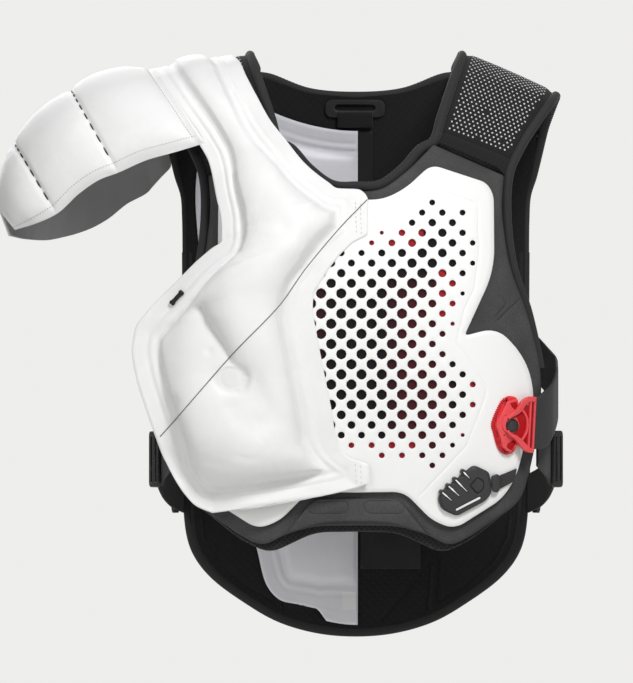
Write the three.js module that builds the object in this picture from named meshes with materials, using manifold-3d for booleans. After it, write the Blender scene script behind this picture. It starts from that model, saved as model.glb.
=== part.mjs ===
// Airbag vest for off-road riding, worn over the shoulders and closed at the sides.
// Millimetres, +Z up, front towards -Y, +X to the right as seen from the front.
// The origin lies between the shoulders, at the height where the straps rest.
import * as THREE from 'three';
import { mergeVertices } from 'three/addons/utils/BufferGeometryUtils.js';
import Module from 'manifold-3d';

const wasm = await Module();
wasm.setup();

const table = (columns, rows) =>
  rows.map((row) => Object.fromEntries(columns.map((name, i) => [name, row[i]])));

// Driving dimensions
const GAP = 0.3;
const ROUNDNESS = 2.4;
const STRAIGHT_FROM = 0.78;
const LINER_THICK = 4.7;
const FOAM_THICK = 8;
const BACKING_THICK = 1.4;
const PLATE_THICK = 3;
const BACK_THICK = 9;
const STRAP_THICK = 8;
const BINDING_RADIUS = 4.2;
const RIM_THICK = 2.6;
const RIM_WIDTH = 9;
const HOLE_PITCH = 17.75;
const HOLE_RADIUS = 4.5;
const HOLE_COUNT = 46;
const HOLE_SIDES = 6;
const WEBBING_THICK = 2.2;
const BAG_STANDOFF = 10;
const BAG_FLARE = 0.00165;
const CUT_LINE_X = 1.8;

// Depth and half width of the body behind the front and in front of the back, over the height
const FRONT_SECTIONS = table(['z', 'depth', 'half'], [
  [20, 60, 150],
  [-40, 80, 152],
  [-110, 104, 158],
  [-200, 124, 168],
  [-300, 125, 184],
  [-400, 113, 184],
  [-500, 104, 180],
]);
const BACK_SECTIONS = table(['z', 'depth', 'half'], [
  [30, 66, 196],
  [-60, 102, 194],
  [-150, 124, 176],
  [-250, 124, 170],
  [-350, 112, 170],
  [-500, 98, 172],
]);

// Outlines as seen from the front: right half from top to bottom, r rounds the corner
const PLATE_OUTLINE = table(['x', 'z', 'r'], [
  [0, -110, 0],
  [24, -110, 14],
  [44, -99.5, 10],
  [66, -79, 9],
  [115, -95, 9],
  [121, -106, 9],
  [121.5, -172, 20],
  [95, -229.5, 4],
  [124, -222, 16],
  [150, -250, 24],
  [158, -287, 24],
  [140.5, -354, 14],
  [128, -373, 10],
  [86, -399.5, 12],
  [66, -391, 8],
  [42, -366.5, 10],
  [0, -367, 0],
]);
const PANEL_OUTLINE = table(['x', 'z', 'r'], [
  [0, -103, 0],
  [22, -102, 12],
  [44, -86, 14],
  [68, -61.5, 0],
  [130, -88.7, 0],
  [127.5, -118, 20],
  [134, -168, 24],
  [150, -207, 16],
  [164, -262, 30],
  [161, -310, 24],
  [151, -355, 16],
  [144, -375, 10],
  [102, -404.5, 8],
  [82, -415, 12],
  [62, -403.5, 12],
  [36, -396.5, 10],
  [0, -396, 0],
]);
const LINER_OUTLINE = table(['x', 'z', 'r'], [
  [0, -103, 0],
  [22, -102, 12],
  [44, -86, 14],
  [68, -61.5, 0],
  [130, -88.7, 0],
  [127.5, -118, 20],
  [134, -168, 24],
  [150, -207, 16],
  [164, -262, 30],
  [161, -310, 24],
  [151, -355, 16],
  [144, -375, 10],
  [102, -408, 8],
  [76, -421, 12],
  [36, -402, 12],
  [0, -401.5, 0],
]);
const BACK_OUTLINE = table(['x', 'z', 'r'], [
  [0, -18.5, 0],
  [42, -15, 12],
  [85, 0, 0],
  [161, -44.5, 0],
  [158, -76, 10],
  [150, -108, 16],
  [149, -200, 0],
  [150, -290, 30],
  [147, -397, 14],
  [125, -440.5, 16],
  [68, -478, 20],
  [0, -491, 0],
]);
const TRIM_OUTLINE = table(['x', 'z', 'r'], [
  [0, -372.2, 0],
  [37, -372.4, 8],
  [62, -403.6, 2],
  [30, -393.3, 10],
  [0, -392.4, 0],
]);
const HOLE_FIELD = table(['x', 'z'], [
  [0, -146],
  [26, -132],
  [64, -106],
  [98, -114],
  [107, -140],
  [105, -172],
  [80, -234],
  [110, -268],
  [104, -312],
  [68, -350],
  [40, -334],
  [0, -334],
]);

// Shoulder strap, from its front end over the shoulder to the back: neck side and arm side
const STRAP_STATIONS = table(['neckX', 'neckY', 'neckZ', 'armX', 'armY', 'armZ'], [
  [68.5, -84, -60.5, 131, -66, -87.5],
  [75, -76, -41, 140, -55, -66],
  [84, -58, -15, 154, -40, -44],
  [91, -34, 4, 168, -22, -26],
  [94, -6, 13, 172, 2, -21],
  [93, 24, 10, 172, 28, -23],
  [89, 48, 2, 168, 48, -33],
  [87, 71.5, -3.6, 163, 61.5, -47.3],
]);

// Chest lobe of the airbag, from behind the shoulder down to the waist
// A row without a depth (y) lies on the front of the vest
const CHEST_LOBE = table(['leftX', 'leftY', 'leftZ', 'rightX', 'rightY', 'rightZ', 'puff'], [
  [-180, 66, -20, -101, 73, 2, 0],
  [-182, 36, -1, -106, 42, 13, 5],
  [-182.5, 4, 4, -109, 2, 17.2, 5],
  [-179, -30, -1, -103, -36, 12.6, 8],
  [-169.5, -60, -15.5, -96, -61, -2, 11],
  [-155, -79, -37, -86, -80, -21, 13],
  [-138, -87, -61, -76, -92, -39, 15],
  [-129, -94, -78, -62, -103, -57, 17],
  [-123, null, -106, -44, null, -79, 19],
  [-118, null, -134, -24, null, -95, 21],
  [-118, null, -146, -16, null, -100, 22],
  [-127, null, -153, 2, null, -101, 23],
  [-133, null, -158, 10.5, null, -111, 24],
  [-141, null, -165, 10.5, null, -139, 26],
  [-148, null, -172, -3, null, -148, 27],
  [-158, null, -182, -18, null, -163, 29],
  [-172, null, -196, -31, null, -182, 31],
  [-184, null, -209, -37, null, -193, 32],
  [-194, null, -223, -38, null, -204, 33],
  [-197, null, -243, -33, null, -236, 35],
  [-193, null, -267, -27, null, -267, 36],
  [-186, null, -290, -22, null, -292, 36],
  [-175, null, -321, -16, null, -324, 34],
  [-170, null, -334, -6, null, -336, 31],
  [-166, null, -342, 11, null, -343, 29],
  [-158, null, -357, 11, null, -358, 22],
  [-150, null, -369, -6, null, -364.5, 13],
  [-140, null, -379, -40, null, -372, 6],
  [-126, null, -385, -84, null, -379.5, 0],
]);

// Back lobe of the airbag, on the inside of the back panel, ending at the centre line
const BACK_LOBE = table(['z', 'left', 'topZ', 'puff'], [
  [-20, -96, -48, 0],
  [-46, -122, -66, 7],
  [-72, -139, -84, 11],
  [-106, -142, -112, 14],
  [-150, -139, -152, 15],
  [-210, -129, -210, 15],
  [-270, -118, -270, 15],
  [-330, -106, -330, 15],
  [-385, -95, -385, 14],
  [-425, -86, -425, 12],
  [-448, -80, -450, 10],
  [-464, -66, -467, 7],
  [-470.5, -36, -478, 4],
  [-482, -26, -485.5, 0],
]);

// Shoulder cap of the airbag: front hem, crest and back edge of each section, from neck to arm
const CAP_SECTIONS = table(
  ['hemX', 'hemY', 'hemZ', 'crestX', 'crestY', 'crestZ', 'backX', 'backY', 'backZ', 'puff'], [
    [-139, -87, -62, -183.5, 4, 3, -177, 84, -86, 1],
    [-159, -88, -68, -200, 4, 2, -182, 88, -100, 5],
    [-184, -86, -75, -223, 4, -3, -203, 88, -113, 6],
    [-209, -82, -86, -250, 4, -15, -221, 86, -127, 1],
    [-225, -80, -92, -264, 4, -26, -236, 82, -135, 6],
    [-243, -74, -104, -280, 4, -40, -254, 76, -141, 7],
    [-263, -66, -122, -299, 4, -62, -276, 68, -145, 1],
    [-280, -58, -130, -308, 4, -86, -292, 58, -144, 4],
    [-300, -40, -136, -315, 4, -118, -306, 42, -141, 1],
  ]);

// Right side closure seen from the back panel forwards; each row is one section of webbing
const SIDE_STRAP = table(['x', 'y', 'topZ', 'lowZ'], [
  [152.3, 74.9, -222, -262],
  [167, 40, -238, -279],
  [176, 0, -250, -292],
  [176, -48, -258, -302],
  [172, -84, -270, -318],
]);
const ADJUSTER_STRAP = table(['x', 'y', 'topZ', 'lowZ'], [
  [158.3, -80, -323, -344],
  [163, -66, -321, -349],
  [166.8, -52, -318, -354],
  [170.5, -39, -314, -361],
]);
const LOWER_STRAP = table(['x', 'y', 'topZ', 'lowZ'], [
  [174, -28.3, -325, -361],
  [169.5, 6, -337, -372],
  [161.5, 36, -346, -381],
  [151.7, 68.8, -352, -386],
]);

// Status unit on the plate: outline of its body in its own plane, u along, v across
const MODULE_OUTLINE = table(['u', 'v', 'r'], [
  [18.5, 15.5, 4],
  [-17.5, 12, 3],
  [-24.5, 8.5, 4],
  [-26.5, -2, 4],
  [-18.5, -14.5, 4],
  [10, -17.5, 4],
  [19, -15, 4],
  [27, 2, 4],
]);
const LIGHT_GUIDES = table(['u', 'low', 'high'], [
  [-16, 0, 10],
  [-8.2, -1, 10.7],
  [0, -1.4, 12],
  [8.6, 7.5, 13.8],
]);

// Colours and finishes
const FINISH = {
  plate: { color: 0xf4f4f3, roughness: 0.42, metalness: 0 },
  foam: { color: 0x454546, roughness: 0.85, metalness: 0 },
  black: { color: 0x1d1d1f, roughness: 0.92, metalness: 0 },
  binding: { color: 0x343436, roughness: 0.8, metalness: 0 },
  backing: { color: 0x5a1318, roughness: 0.8, metalness: 0 },
  bag: { color: 0xececed, roughness: 0.6, metalness: 0 },
  lining: { color: 0x626264, roughness: 0.8, metalness: 0 },
  red: { color: 0xdd222c, roughness: 0.4, metalness: 0 },
  hard: { color: 0x2a2a2c, roughness: 0.5, metalness: 0 },
  guide: { color: 0xe9e9ea, roughness: 0.3, metalness: 0 },
};

const vest = new THREE.Group();

function add(name, geometry, finish) {
  geometry.computeVertexNormals();
  const mesh = new THREE.Mesh(geometry, new THREE.MeshStandardMaterial(FINISH[finish]));
  mesh.name = name;
  vest.add(mesh);
  return mesh;
}

// Solids and their geometry
function solidOf(geometry) {
  const bare = geometry.clone();
  bare.deleteAttribute('normal');
  bare.deleteAttribute('uv');
  const merged = mergeVertices(bare, 1e-3);
  return new wasm.Manifold(new wasm.Mesh({
    numProp: 3,
    vertProperties: merged.attributes.position.array,
    triVerts: new Uint32Array(merged.index.array),
  }));
}

function geometryOf(solid) {
  const mesh = solid.getMesh();
  const geometry = new THREE.BufferGeometry();
  geometry.setAttribute('position', new THREE.BufferAttribute(mesh.vertProperties.slice(), 3));
  geometry.setIndex(new THREE.BufferAttribute(mesh.triVerts.slice(), 1));
  return geometry;
}

function closedGeometry(points, quads) {
  const triangles = quads.flatMap(([a, b, c, d]) => [[a, b, c], [a, c, d]]);
  const volume = triangles.reduce(
    (sum, [a, b, c]) => sum + points[a].dot(points[b].clone().cross(points[c])), 0);
  const outward = volume < 0 ? triangles.map(([a, b, c]) => [a, c, b]) : triangles;
  const geometry = new THREE.BufferGeometry().setFromPoints(points);
  geometry.setIndex(outward.flat());
  return geometry;
}

// A closed slab between two grids of points
function slab(rows) {
  const down = rows.length;
  const across = rows[0].length;
  const cells = rows.flat();
  const points = [...cells.map((cell) => cell.inner), ...cells.map((cell) => cell.outer)];
  const inner = (i, j) => i * across + j;
  const outer = (i, j) => down * across + i * across + j;
  const quads = [];
  for (let i = 0; i < down - 1; i += 1) {
    for (let j = 0; j < across - 1; j += 1) {
      quads.push([inner(i, j), inner(i, j + 1), inner(i + 1, j + 1), inner(i + 1, j)]);
      quads.push([outer(i, j), outer(i + 1, j), outer(i + 1, j + 1), outer(i, j + 1)]);
    }
    const end = across - 1;
    quads.push([inner(i, 0), inner(i + 1, 0), outer(i + 1, 0), outer(i, 0)]);
    quads.push([inner(i, end), outer(i, end), outer(i + 1, end), inner(i + 1, end)]);
  }
  const last = down - 1;
  for (let j = 0; j < across - 1; j += 1) {
    quads.push([inner(0, j), outer(0, j), outer(0, j + 1), inner(0, j + 1)]);
    quads.push([inner(last, j), inner(last, j + 1), outer(last, j + 1), outer(last, j)]);
  }
  return closedGeometry(points, quads);
}

// Smooth value of a table column at a height
function columnAt(rows, column, z) {
  const last = rows.length - 1;
  let k = rows.findIndex((row) => row.z < z) - 1;
  if (k < 0) k = z > rows[0].z ? 0 : last - 1;
  const a = rows[k];
  const b = rows[k + 1];
  const t = THREE.MathUtils.clamp((a.z - z) / (a.z - b.z), 0, 1);
  const slope = (i) => {
    const before = rows[Math.max(i - 1, 0)];
    const after = rows[Math.min(i + 1, last)];
    return (after[column] - before[column]) / (after.z - before.z);
  };
  const span = b.z - a.z;
  const h = t * t * (3 - 2 * t);
  const ease = t * (1 - t);
  return a[column] * (1 - h) + b[column] * h
    + span * ease * ((1 - t) * slope(k) - t * slope(k + 1));
}

// The body wall: rounded in front, straight towards the sides
function bodyProfile(ratio) {
  const bend = (r) => (1 - r ** ROUNDNESS) ** (1 / ROUNDNESS);
  if (ratio <= STRAIGHT_FROM) return bend(ratio);
  const edge = bend(STRAIGHT_FROM);
  const slope = -(STRAIGHT_FROM ** (ROUNDNESS - 1)) * edge ** (1 - ROUNDNESS);
  return edge + slope * (ratio - STRAIGHT_FROM);
}

function bodySkin(sections, side) {
  const point = (x, z) => {
    const depth = columnAt(sections, 'depth', z);
    const half = columnAt(sections, 'half', z);
    return new THREE.Vector3(x, side * depth * bodyProfile(Math.abs(x) / half), z);
  };
  const normal = (x, z) => {
    const alongX = point(x + 1, z).sub(point(x - 1, z));
    const alongZ = point(x, z + 1).sub(point(x, z - 1));
    const n = alongX.cross(alongZ).normalize();
    return n.y * side < 0 ? n.negate() : n;
  };
  const at = (x, z, offset) => point(x, z).addScaledVector(normal(x, z), offset);
  // The spot on the body whose offset point appears at x and z from the front
  const spotUnder = (x, z, offset) => {
    const spot = { x, z };
    for (let i = 0; i < 12; i += 1) {
      const reached = at(spot.x, spot.z, offset);
      spot.x += 0.8 * (x - reached.x);
      spot.z += 0.8 * (z - reached.z);
    }
    return spot;
  };
  const over = (x, z, offset) => {
    const spot = spotUnder(x, z, offset);
    return at(spot.x, spot.z, offset);
  };
  return { point, normal, at, spotUnder, over };
}
const frontSkin = bodySkin(FRONT_SECTIONS, -1);
const backSkin = bodySkin(BACK_SECTIONS, 1);

// Outlines and prisms
function mirrored(half) {
  const other = half.filter((corner) => corner.x > 0).reverse();
  return [...half, ...other.map((corner) => ({ ...corner, x: -corner.x }))];
}

function roundedPath(path, corners) {
  const spots = corners.map((corner) => new THREE.Vector2(corner.x ?? corner.u, corner.z ?? corner.v));
  const count = spots.length;
  spots.forEach((spot, i) => {
    const before = spots[(i + count - 1) % count];
    const after = spots[(i + 1) % count];
    const reach = Math.min(corners[i].r ?? 0, spot.distanceTo(before) / 2, spot.distanceTo(after) / 2);
    const enter = spot.clone().lerp(before, reach / spot.distanceTo(before));
    const leave = spot.clone().lerp(after, reach / spot.distanceTo(after));
    if (i === 0) path.moveTo(enter.x, enter.y);
    else path.lineTo(enter.x, enter.y);
    if (reach > 0) path.quadraticCurveTo(spot.x, spot.y, leave.x, leave.y);
  });
  path.closePath();
  return path;
}

function circlePath(x, y, radius, sides) {
  const path = new THREE.Path();
  const corners = Array.from({ length: sides }, (_, i) => {
    const angle = (i / sides) * 2 * Math.PI;
    return new THREE.Vector2(x + radius * Math.cos(angle), y + radius * Math.sin(angle));
  });
  path.setFromPoints(corners);
  path.closePath();
  return path;
}

function capsulePath(x0, y0, x1, y1, radius, steps) {
  const angle = Math.atan2(y1 - y0, x1 - x0);
  const corners = [];
  for (let i = 0; i <= steps; i += 1) {
    const turn = angle + Math.PI / 2 + (i / steps) * Math.PI;
    corners.push(new THREE.Vector2(x0 + radius * Math.cos(turn), y0 + radius * Math.sin(turn)));
  }
  for (let i = 0; i <= steps; i += 1) {
    const turn = angle - Math.PI / 2 + (i / steps) * Math.PI;
    corners.push(new THREE.Vector2(x1 + radius * Math.cos(turn), y1 + radius * Math.sin(turn)));
  }
  const path = new THREE.Path();
  path.setFromPoints(corners);
  path.closePath();
  return path;
}

// A shape drawn in x and z, pushed through the depth from one y to another
function prism(shape, fromY, toY, curveSegments = 3) {
  const geometry = new THREE.ExtrudeGeometry(shape, {
    depth: toY - fromY,
    bevelEnabled: false,
    curveSegments,
  });
  geometry.rotateX(Math.PI / 2);
  geometry.translate(0, toY, 0);
  return geometry;
}

// A curved panel: the wall between two offsets of the body, cut to an outline
const FRONT_GRID = { reach: 176, top: -49, low: -433, columns: 10, rows: 9 };
const BACK_GRID = { reach: 182, top: 9, low: -502, columns: 10, rows: 9 };
function panel(skin, side, corners, near, far, curveSegments = 2) {
  const { reach, top, low, columns, rows } = side < 0 ? FRONT_GRID : BACK_GRID;
  const grid = Array.from({ length: rows + 1 }, (_, i) => {
    const z = THREE.MathUtils.lerp(top, low, i / rows);
    return Array.from({ length: columns + 1 }, (_unused, j) => {
      const x = THREE.MathUtils.lerp(-reach, reach, j / columns);
      return { inner: skin.at(x, z, near), outer: skin.at(x, z, far) };
    });
  });
  const shape = roundedPath(new THREE.Shape(), corners);
  const cutter = side < 0 ? prism(shape, -260, 20, curveSegments) : prism(shape, -20, 260, curveSegments);
  return solidOf(slab(grid)).intersect(solidOf(cutter));
}

// Bindings: round edging along a path in space
const RING_SIDES = 6;
function edging(points, radius, steps, closed) {
  const curve = new THREE.CatmullRomCurve3(points, closed, 'centripetal');
  if (closed) return solidOf(new THREE.TubeGeometry(curve, steps, radius, RING_SIDES, true));
  const ring = new THREE.Shape(circlePath(0, 0, radius, RING_SIDES).getPoints(1));
  return solidOf(new THREE.ExtrudeGeometry(ring, { steps, bevelEnabled: false, extrudePath: curve }));
}

// Layers of the front, counted outwards from the body
const foamNear = LINER_THICK + GAP;
const foamFar = foamNear + FOAM_THICK;
const backingNear = foamFar + GAP;
const plateNear = backingNear + BACKING_THICK + GAP;
const plateFar = plateNear + PLATE_THICK;
const bagSeat = plateFar + GAP;

// Shoulder straps
function strapPoint(station, share, lift, sign) {
  const neck = new THREE.Vector3(station.neckX, station.neckY, station.neckZ);
  const arm = new THREE.Vector3(station.armX, station.armY, station.armZ);
  const point = neck.lerp(arm, share);
  point.x *= sign;
  return lift ? point.addScaledVector(lift, 1) : point;
}

function strapLift(i, sign, height) {
  const before = strapPoint(STRAP_STATIONS[Math.max(i - 1, 0)], 0.5, null, sign);
  const after = strapPoint(STRAP_STATIONS[Math.min(i + 1, STRAP_STATIONS.length - 1)], 0.5, null, sign);
  const across = strapPoint(STRAP_STATIONS[i], 1, null, sign).sub(strapPoint(STRAP_STATIONS[i], 0, null, sign));
  const n = after.sub(before).cross(across).normalize();
  const outwards = new THREE.Vector3(0, STRAP_STATIONS[i].neckY, 60);
  return n.multiplyScalar(n.dot(outwards) < 0 ? -height : height);
}

function strapEdge(sign, share, beyond) {
  return STRAP_STATIONS.map((station, i) => {
    const lift = strapLift(i, sign, STRAP_THICK / 2);
    const edge = strapPoint(station, share, lift, sign);
    const other = strapPoint(station, 1 - share, lift, sign);
    return edge.add(edge.clone().sub(other).setLength(beyond));
  });
}

const STRAP_COLUMNS = 2;
function strapSolid(sign) {
  const grid = STRAP_STATIONS.map((station, i) => {
    const lift = strapLift(i, sign, STRAP_THICK);
    return Array.from({ length: STRAP_COLUMNS + 1 }, (_, j) => {
      const share = j / STRAP_COLUMNS;
      return { inner: strapPoint(station, share, null, sign), outer: strapPoint(station, share, lift, sign) };
    });
  });
  return solidOf(slab(grid));
}

// Neck edging: front neckline, right strap, back neckline, left strap
const frontMid = (x, z) => frontSkin.at(x, z, foamFar / 2);
const backMid = (x, z) => backSkin.over(x, z, BACK_THICK / 2);
const frontNeck = [[0, -100], [20, -99], [40, -85], [56, -67]];
const backNeck = [[76, -1.5], [42, -14], [0, -17.5]];
const neckSide = strapEdge(1, 0, 2.5);
const neckHalf = [
  ...frontNeck.map(([x, z]) => frontMid(x, z)),
  ...neckSide,
  ...backNeck.map(([x, z]) => backMid(x, z)),
];
const neckOther = neckHalf.slice(1, -1).reverse().map((p) => new THREE.Vector3(-p.x, p.y, p.z));
const neckLoop = [...neckHalf, ...neckOther];
const NECK_STEPS = 38;
const neckBinding = edging(neckLoop, BINDING_RADIUS, NECK_STEPS, true);
const neckCutter = edging(neckLoop, BINDING_RADIUS + GAP, NECK_STEPS, true);

// Arm edging: front arm edge, strap arm side, upper back edge
const frontArm = [[161.6, -258], [158.6, -242], [150.7, -208], [137.8, -168], [132.4, -120]];
const backArm = [[160, -73], [156, -89], [151, -105], [149.6, -127], [149.2, -155]];
function armPath(sign) {
  const half = [
    ...frontArm.map(([x, z]) => frontSkin.over(x, z, foamFar / 2)),
    ...strapEdge(1, 1, 2.5),
    ...backArm.map(([x, z]) => backMid(x, z)),
  ];
  return half.map((p) => new THREE.Vector3(p.x * sign, p.y, p.z));
}
const ARM_STEPS = 24;
const armBinding = { 1: null, '-1': null };
const armCutter = { 1: null, '-1': null };
[1, -1].forEach((sign) => {
  armBinding[sign] = edging(armPath(sign), BINDING_RADIUS, ARM_STEPS, false);
  armCutter[sign] = edging(armPath(sign), BINDING_RADIUS + GAP, ARM_STEPS, false);
});

// Back edging: down one side, round the hem and up the other side
const backEdge = [
  [149.2, -155.6], [149, -205], [150, -290], [148.5, -372], [144.5, -408], [138, -424],
  [124.2, -441], [97.3, -461.2], [68, -478.2], [34.5, -488.2], [0, -491.2],
];
const backHalf = backEdge.map(([x, z]) => backMid(x, z));
const backOther = backHalf.slice(0, -1).reverse().map((p) => new THREE.Vector3(-p.x, p.y, p.z));
const BACK_STEPS = 26;
const backBinding = edging([...backHalf, ...backOther], BINDING_RADIUS + 0.4, BACK_STEPS, false);
const backCutter = edging([...backHalf, ...backOther], BINDING_RADIUS + 0.4 + GAP, BACK_STEPS, false);

// What is left of a piece after its edging is let in, without loose slivers
const SLIVER = 0.25;
function trimmed(solid, cutters) {
  const left = cutters.reduce((rest, cutter) => rest.subtract(cutter), solid);
  const largest = (whole) => whole.decompose().sort((a, b) => b.volume() - a.volume())[0];
  return largest(largest(left).simplify(SLIVER));
}
const frontCutters = [neckCutter, armCutter[1], armCutter[-1]];

// Vest front
const liner = panel(frontSkin, -1, mirrored(LINER_OUTLINE), 0, LINER_THICK);
add('front_liner', geometryOf(trimmed(liner, frontCutters)), 'black');
const foam = panel(frontSkin, -1, mirrored(PANEL_OUTLINE), foamNear, foamFar);
add('front_panel', geometryOf(trimmed(foam, frontCutters)), 'foam');

const plateCorners = mirrored(PLATE_OUTLINE);
const holeField = roundedPath(new THREE.Shape(), mirrored(HOLE_FIELD)).getPoints(2);
const backing = panel(frontSkin, -1, mirrored(HOLE_FIELD), backingNear, backingNear + BACKING_THICK);
add('plate_backing', geometryOf(backing), 'backing');

// The holes stand in staggered rows and shrink away from the middle of the chest
const FIELD_MIDDLE = { x: 0, z: -268 };
function insideField(x, z) {
  let inside = false;
  for (let i = 0, j = holeField.length - 1; i < holeField.length; j = i, i += 1) {
    const a = holeField[i];
    const b = holeField[j];
    if ((a.y > z) !== (b.y > z) && x < ((b.x - a.x) * (z - a.y)) / (b.y - a.y) + a.x) inside = !inside;
  }
  return inside;
}
const holes = [];
const HOLE_TOP = -112.5;
const HOLE_LEFT = -128.4;
for (let row = 0; row < 28; row += 1) {
  const z = HOLE_TOP - (row * HOLE_PITCH) / 2;
  for (let column = 0; column < 16; column += 1) {
    const x = HOLE_LEFT + (column + (row % 2) / 2) * HOLE_PITCH;
    const away = Math.hypot(0.75 * (x - FIELD_MIDDLE.x), z - FIELD_MIDDLE.z);
    const radius = HOLE_RADIUS - 0.022 * Math.max(0, away - 52);
    if (insideField(x, z) && radius > 1.4) holes.push({ x, z, radius });
  }
}
holes.sort((a, b) => b.radius - a.radius);
const plateBlank = panel(frontSkin, -1, plateCorners, plateNear, plateFar);
const drills = holes.slice(0, HOLE_COUNT).map(({ x, z, radius }) =>
  solidOf(prism(new THREE.Shape(circlePath(x, z, radius, HOLE_SIDES).getPoints(1)), -220, -20)));
const plateMesh = add('chest_plate', geometryOf(plateBlank.subtract(wasm.Manifold.union(drills))), 'plate');
const trim = panel(frontSkin, -1, mirrored(TRIM_OUTLINE), backingNear, backingNear + 4);
add('hem_trim', geometryOf(trim), 'foam');

// Vest back
const back = panel(backSkin, 1, mirrored(BACK_OUTLINE), 0, BACK_THICK);
add('back_panel', geometryOf(trimmed(back, [...frontCutters, backCutter])), 'black');
add('neck_binding', geometryOf(neckBinding), 'binding');
add('back_binding', geometryOf(backBinding), 'binding');
const SIDES = [['right', 1], ['left', -1]];
SIDES.forEach(([name, sign]) => {
  add(`arm_binding_${name}`, geometryOf(armBinding[sign].subtract(backCutter)), 'binding');
  add(`shoulder_strap_${name}`, geometryOf(trimmed(strapSolid(sign), frontCutters)), 'black');
});

// Airbag lobes: flat sewn rim, filled in the middle
function fill(share) {
  const s = THREE.MathUtils.clamp(share, 0, 1);
  return (1 - Math.abs(2 * s - 1) ** 2.2) ** 0.62;
}

function lobeShares(width, middle) {
  const rim = Math.min(RIM_WIDTH / width, 0.2);
  const inner = Array.from({ length: middle + 1 }, (_, j) => rim + (1 - 2 * rim) * (j / middle));
  return { rim, shares: [0, ...inner, 1] };
}

function standOff(x) {
  const flare = BAG_FLARE * Math.max(0, -x - 105) ** 2;
  return bagSeat + BAG_STANDOFF * THREE.MathUtils.smoothstep(Math.abs(x), 40, 105) + flare;
}

const LOBE_COLUMNS = 5;
function chestLobe() {
  const grid = CHEST_LOBE.map((row) => {
    const left = new THREE.Vector3(row.leftX, row.leftY ?? 0, row.leftZ);
    const right = new THREE.Vector3(row.rightX, row.rightY ?? 0, row.rightZ);
    const { rim, shares } = lobeShares(left.distanceTo(right), LOBE_COLUMNS);
    return shares.map((share) => {
      const spot = left.clone().lerp(right, share);
      const height = RIM_THICK + row.puff * fill((share - rim) / (1 - 2 * rim));
      if (row.leftY === null) {
        const seat = standOff(spot.x);
        const under = frontSkin.spotUnder(spot.x, spot.z, seat);
        const inner = frontSkin.at(under.x, under.z, seat);
        return { inner, outer: frontSkin.at(under.x, under.z, seat + height) };
      }
      const up = new THREE.Vector3(-0.25, spot.y / 95, 1 - Math.abs(spot.y) / 110).normalize();
      return { inner: spot, outer: spot.clone().addScaledVector(up, height) };
    });
  });
  return slab(grid);
}
const chestBag = add('airbag_front', chestLobe(), 'bag');

function backLobe() {
  const seat = -2.3;
  const grid = BACK_LOBE.map((row) => {
    const { rim, shares } = lobeShares(CUT_LINE_X - row.left, LOBE_COLUMNS);
    return shares.map((share) => {
      const x = THREE.MathUtils.lerp(row.left, CUT_LINE_X, share);
      const z = THREE.MathUtils.lerp(row.z, row.topZ, 1 - (1 - share) ** 2);
      const height = RIM_THICK + row.puff * fill((share - rim) / (1 - 2 * rim));
      const under = backSkin.spotUnder(x, z, seat - height);
      return { inner: backSkin.at(under.x, under.z, seat), outer: backSkin.at(under.x, under.z, seat - height) };
    });
  });
  return slab(grid);
}
const backBag = add('airbag_back', backLobe(), 'bag');

// Shoulder cap: an arch over the upper arm
const CAP_STEPS = 8;
function capPoint(section, share) {
  const front = share < 0.5;
  const turn = Math.PI * share;
  const foot = front
    ? new THREE.Vector3(section.hemX, section.hemY, section.hemZ)
    : new THREE.Vector3(section.backX, section.backY, section.backZ);
  const flat = Math.abs(Math.cos(turn));
  const rise = Math.sin(turn);
  return new THREE.Vector3(
    section.crestX + (foot.x - section.crestX) * (1 - rise),
    section.crestY + (foot.y - section.crestY) * flat,
    foot.z + (section.crestZ - foot.z) * rise,
  );
}

function capGrid(lower, upper) {
  const share = (j) => j / CAP_STEPS;
  return CAP_SECTIONS.map((section, i) => Array.from({ length: CAP_STEPS + 1 }, (_, j) => {
    const point = capPoint(section, share(j));
    const before = capPoint(section, share(Math.max(j - 1, 0)));
    const after = capPoint(section, share(Math.min(j + 1, CAP_STEPS)));
    const inwards = CAP_SECTIONS[Math.max(i - 1, 0)];
    const outwards = CAP_SECTIONS[Math.min(i + 1, CAP_SECTIONS.length - 1)];
    const along = capPoint(outwards, share(j)).sub(capPoint(inwards, share(j)));
    const n = after.sub(before).cross(along).normalize();
    if (n.dot(new THREE.Vector3(-0.2, point.y / 60, 1)) < 0) n.negate();
    const puff = section.puff * Math.sin(Math.PI * share(j)) ** 0.6;
    return {
      inner: point.clone().addScaledVector(n, lower),
      outer: point.clone().addScaledVector(n, upper + (upper > 0 ? puff : 0)),
    };
  }));
}
add('airbag_shoulder', slab(capGrid(0, RIM_THICK)), 'bag');
add('shoulder_lining', slab(capGrid(-GAP - 1.6, -GAP)), 'lining');

// Where a piece meets what carries it, seen from the front
function restingOn(mesh, x, z, fromY, clear, thick) {
  const ray = new THREE.Raycaster(new THREE.Vector3(x, fromY, z), new THREE.Vector3(0, 1, 0));
  const hit = ray.intersectObject(mesh)[0].point;
  return {
    inner: hit.clone().add(new THREE.Vector3(0, -clear, 0)),
    outer: hit.clone().add(new THREE.Vector3(0, -clear - thick, 0)),
  };
}

// A flat back lowered until it almost touches the piece below it
function seatedOn(mesh, place, facing, halfU, halfV) {
  const x = new THREE.Vector3(0, 0, 1).cross(facing).normalize();
  const y = facing.clone().cross(x);
  const down = facing.clone().negate();
  let highest = -Infinity;
  for (let i = -4; i <= 4; i += 1) {
    for (let j = -4; j <= 4; j += 1) {
      const start = place.clone().addScaledVector(x, (halfU * i) / 4).addScaledVector(y, (halfV * j) / 4);
      const ray = new THREE.Raycaster(start.addScaledVector(facing, 60), down);
      const hit = ray.intersectObject(mesh)[0];
      if (hit) highest = Math.max(highest, hit.point.sub(place).dot(facing));
    }
  }
  return place.clone().addScaledVector(facing, highest + GAP);
}

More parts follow.
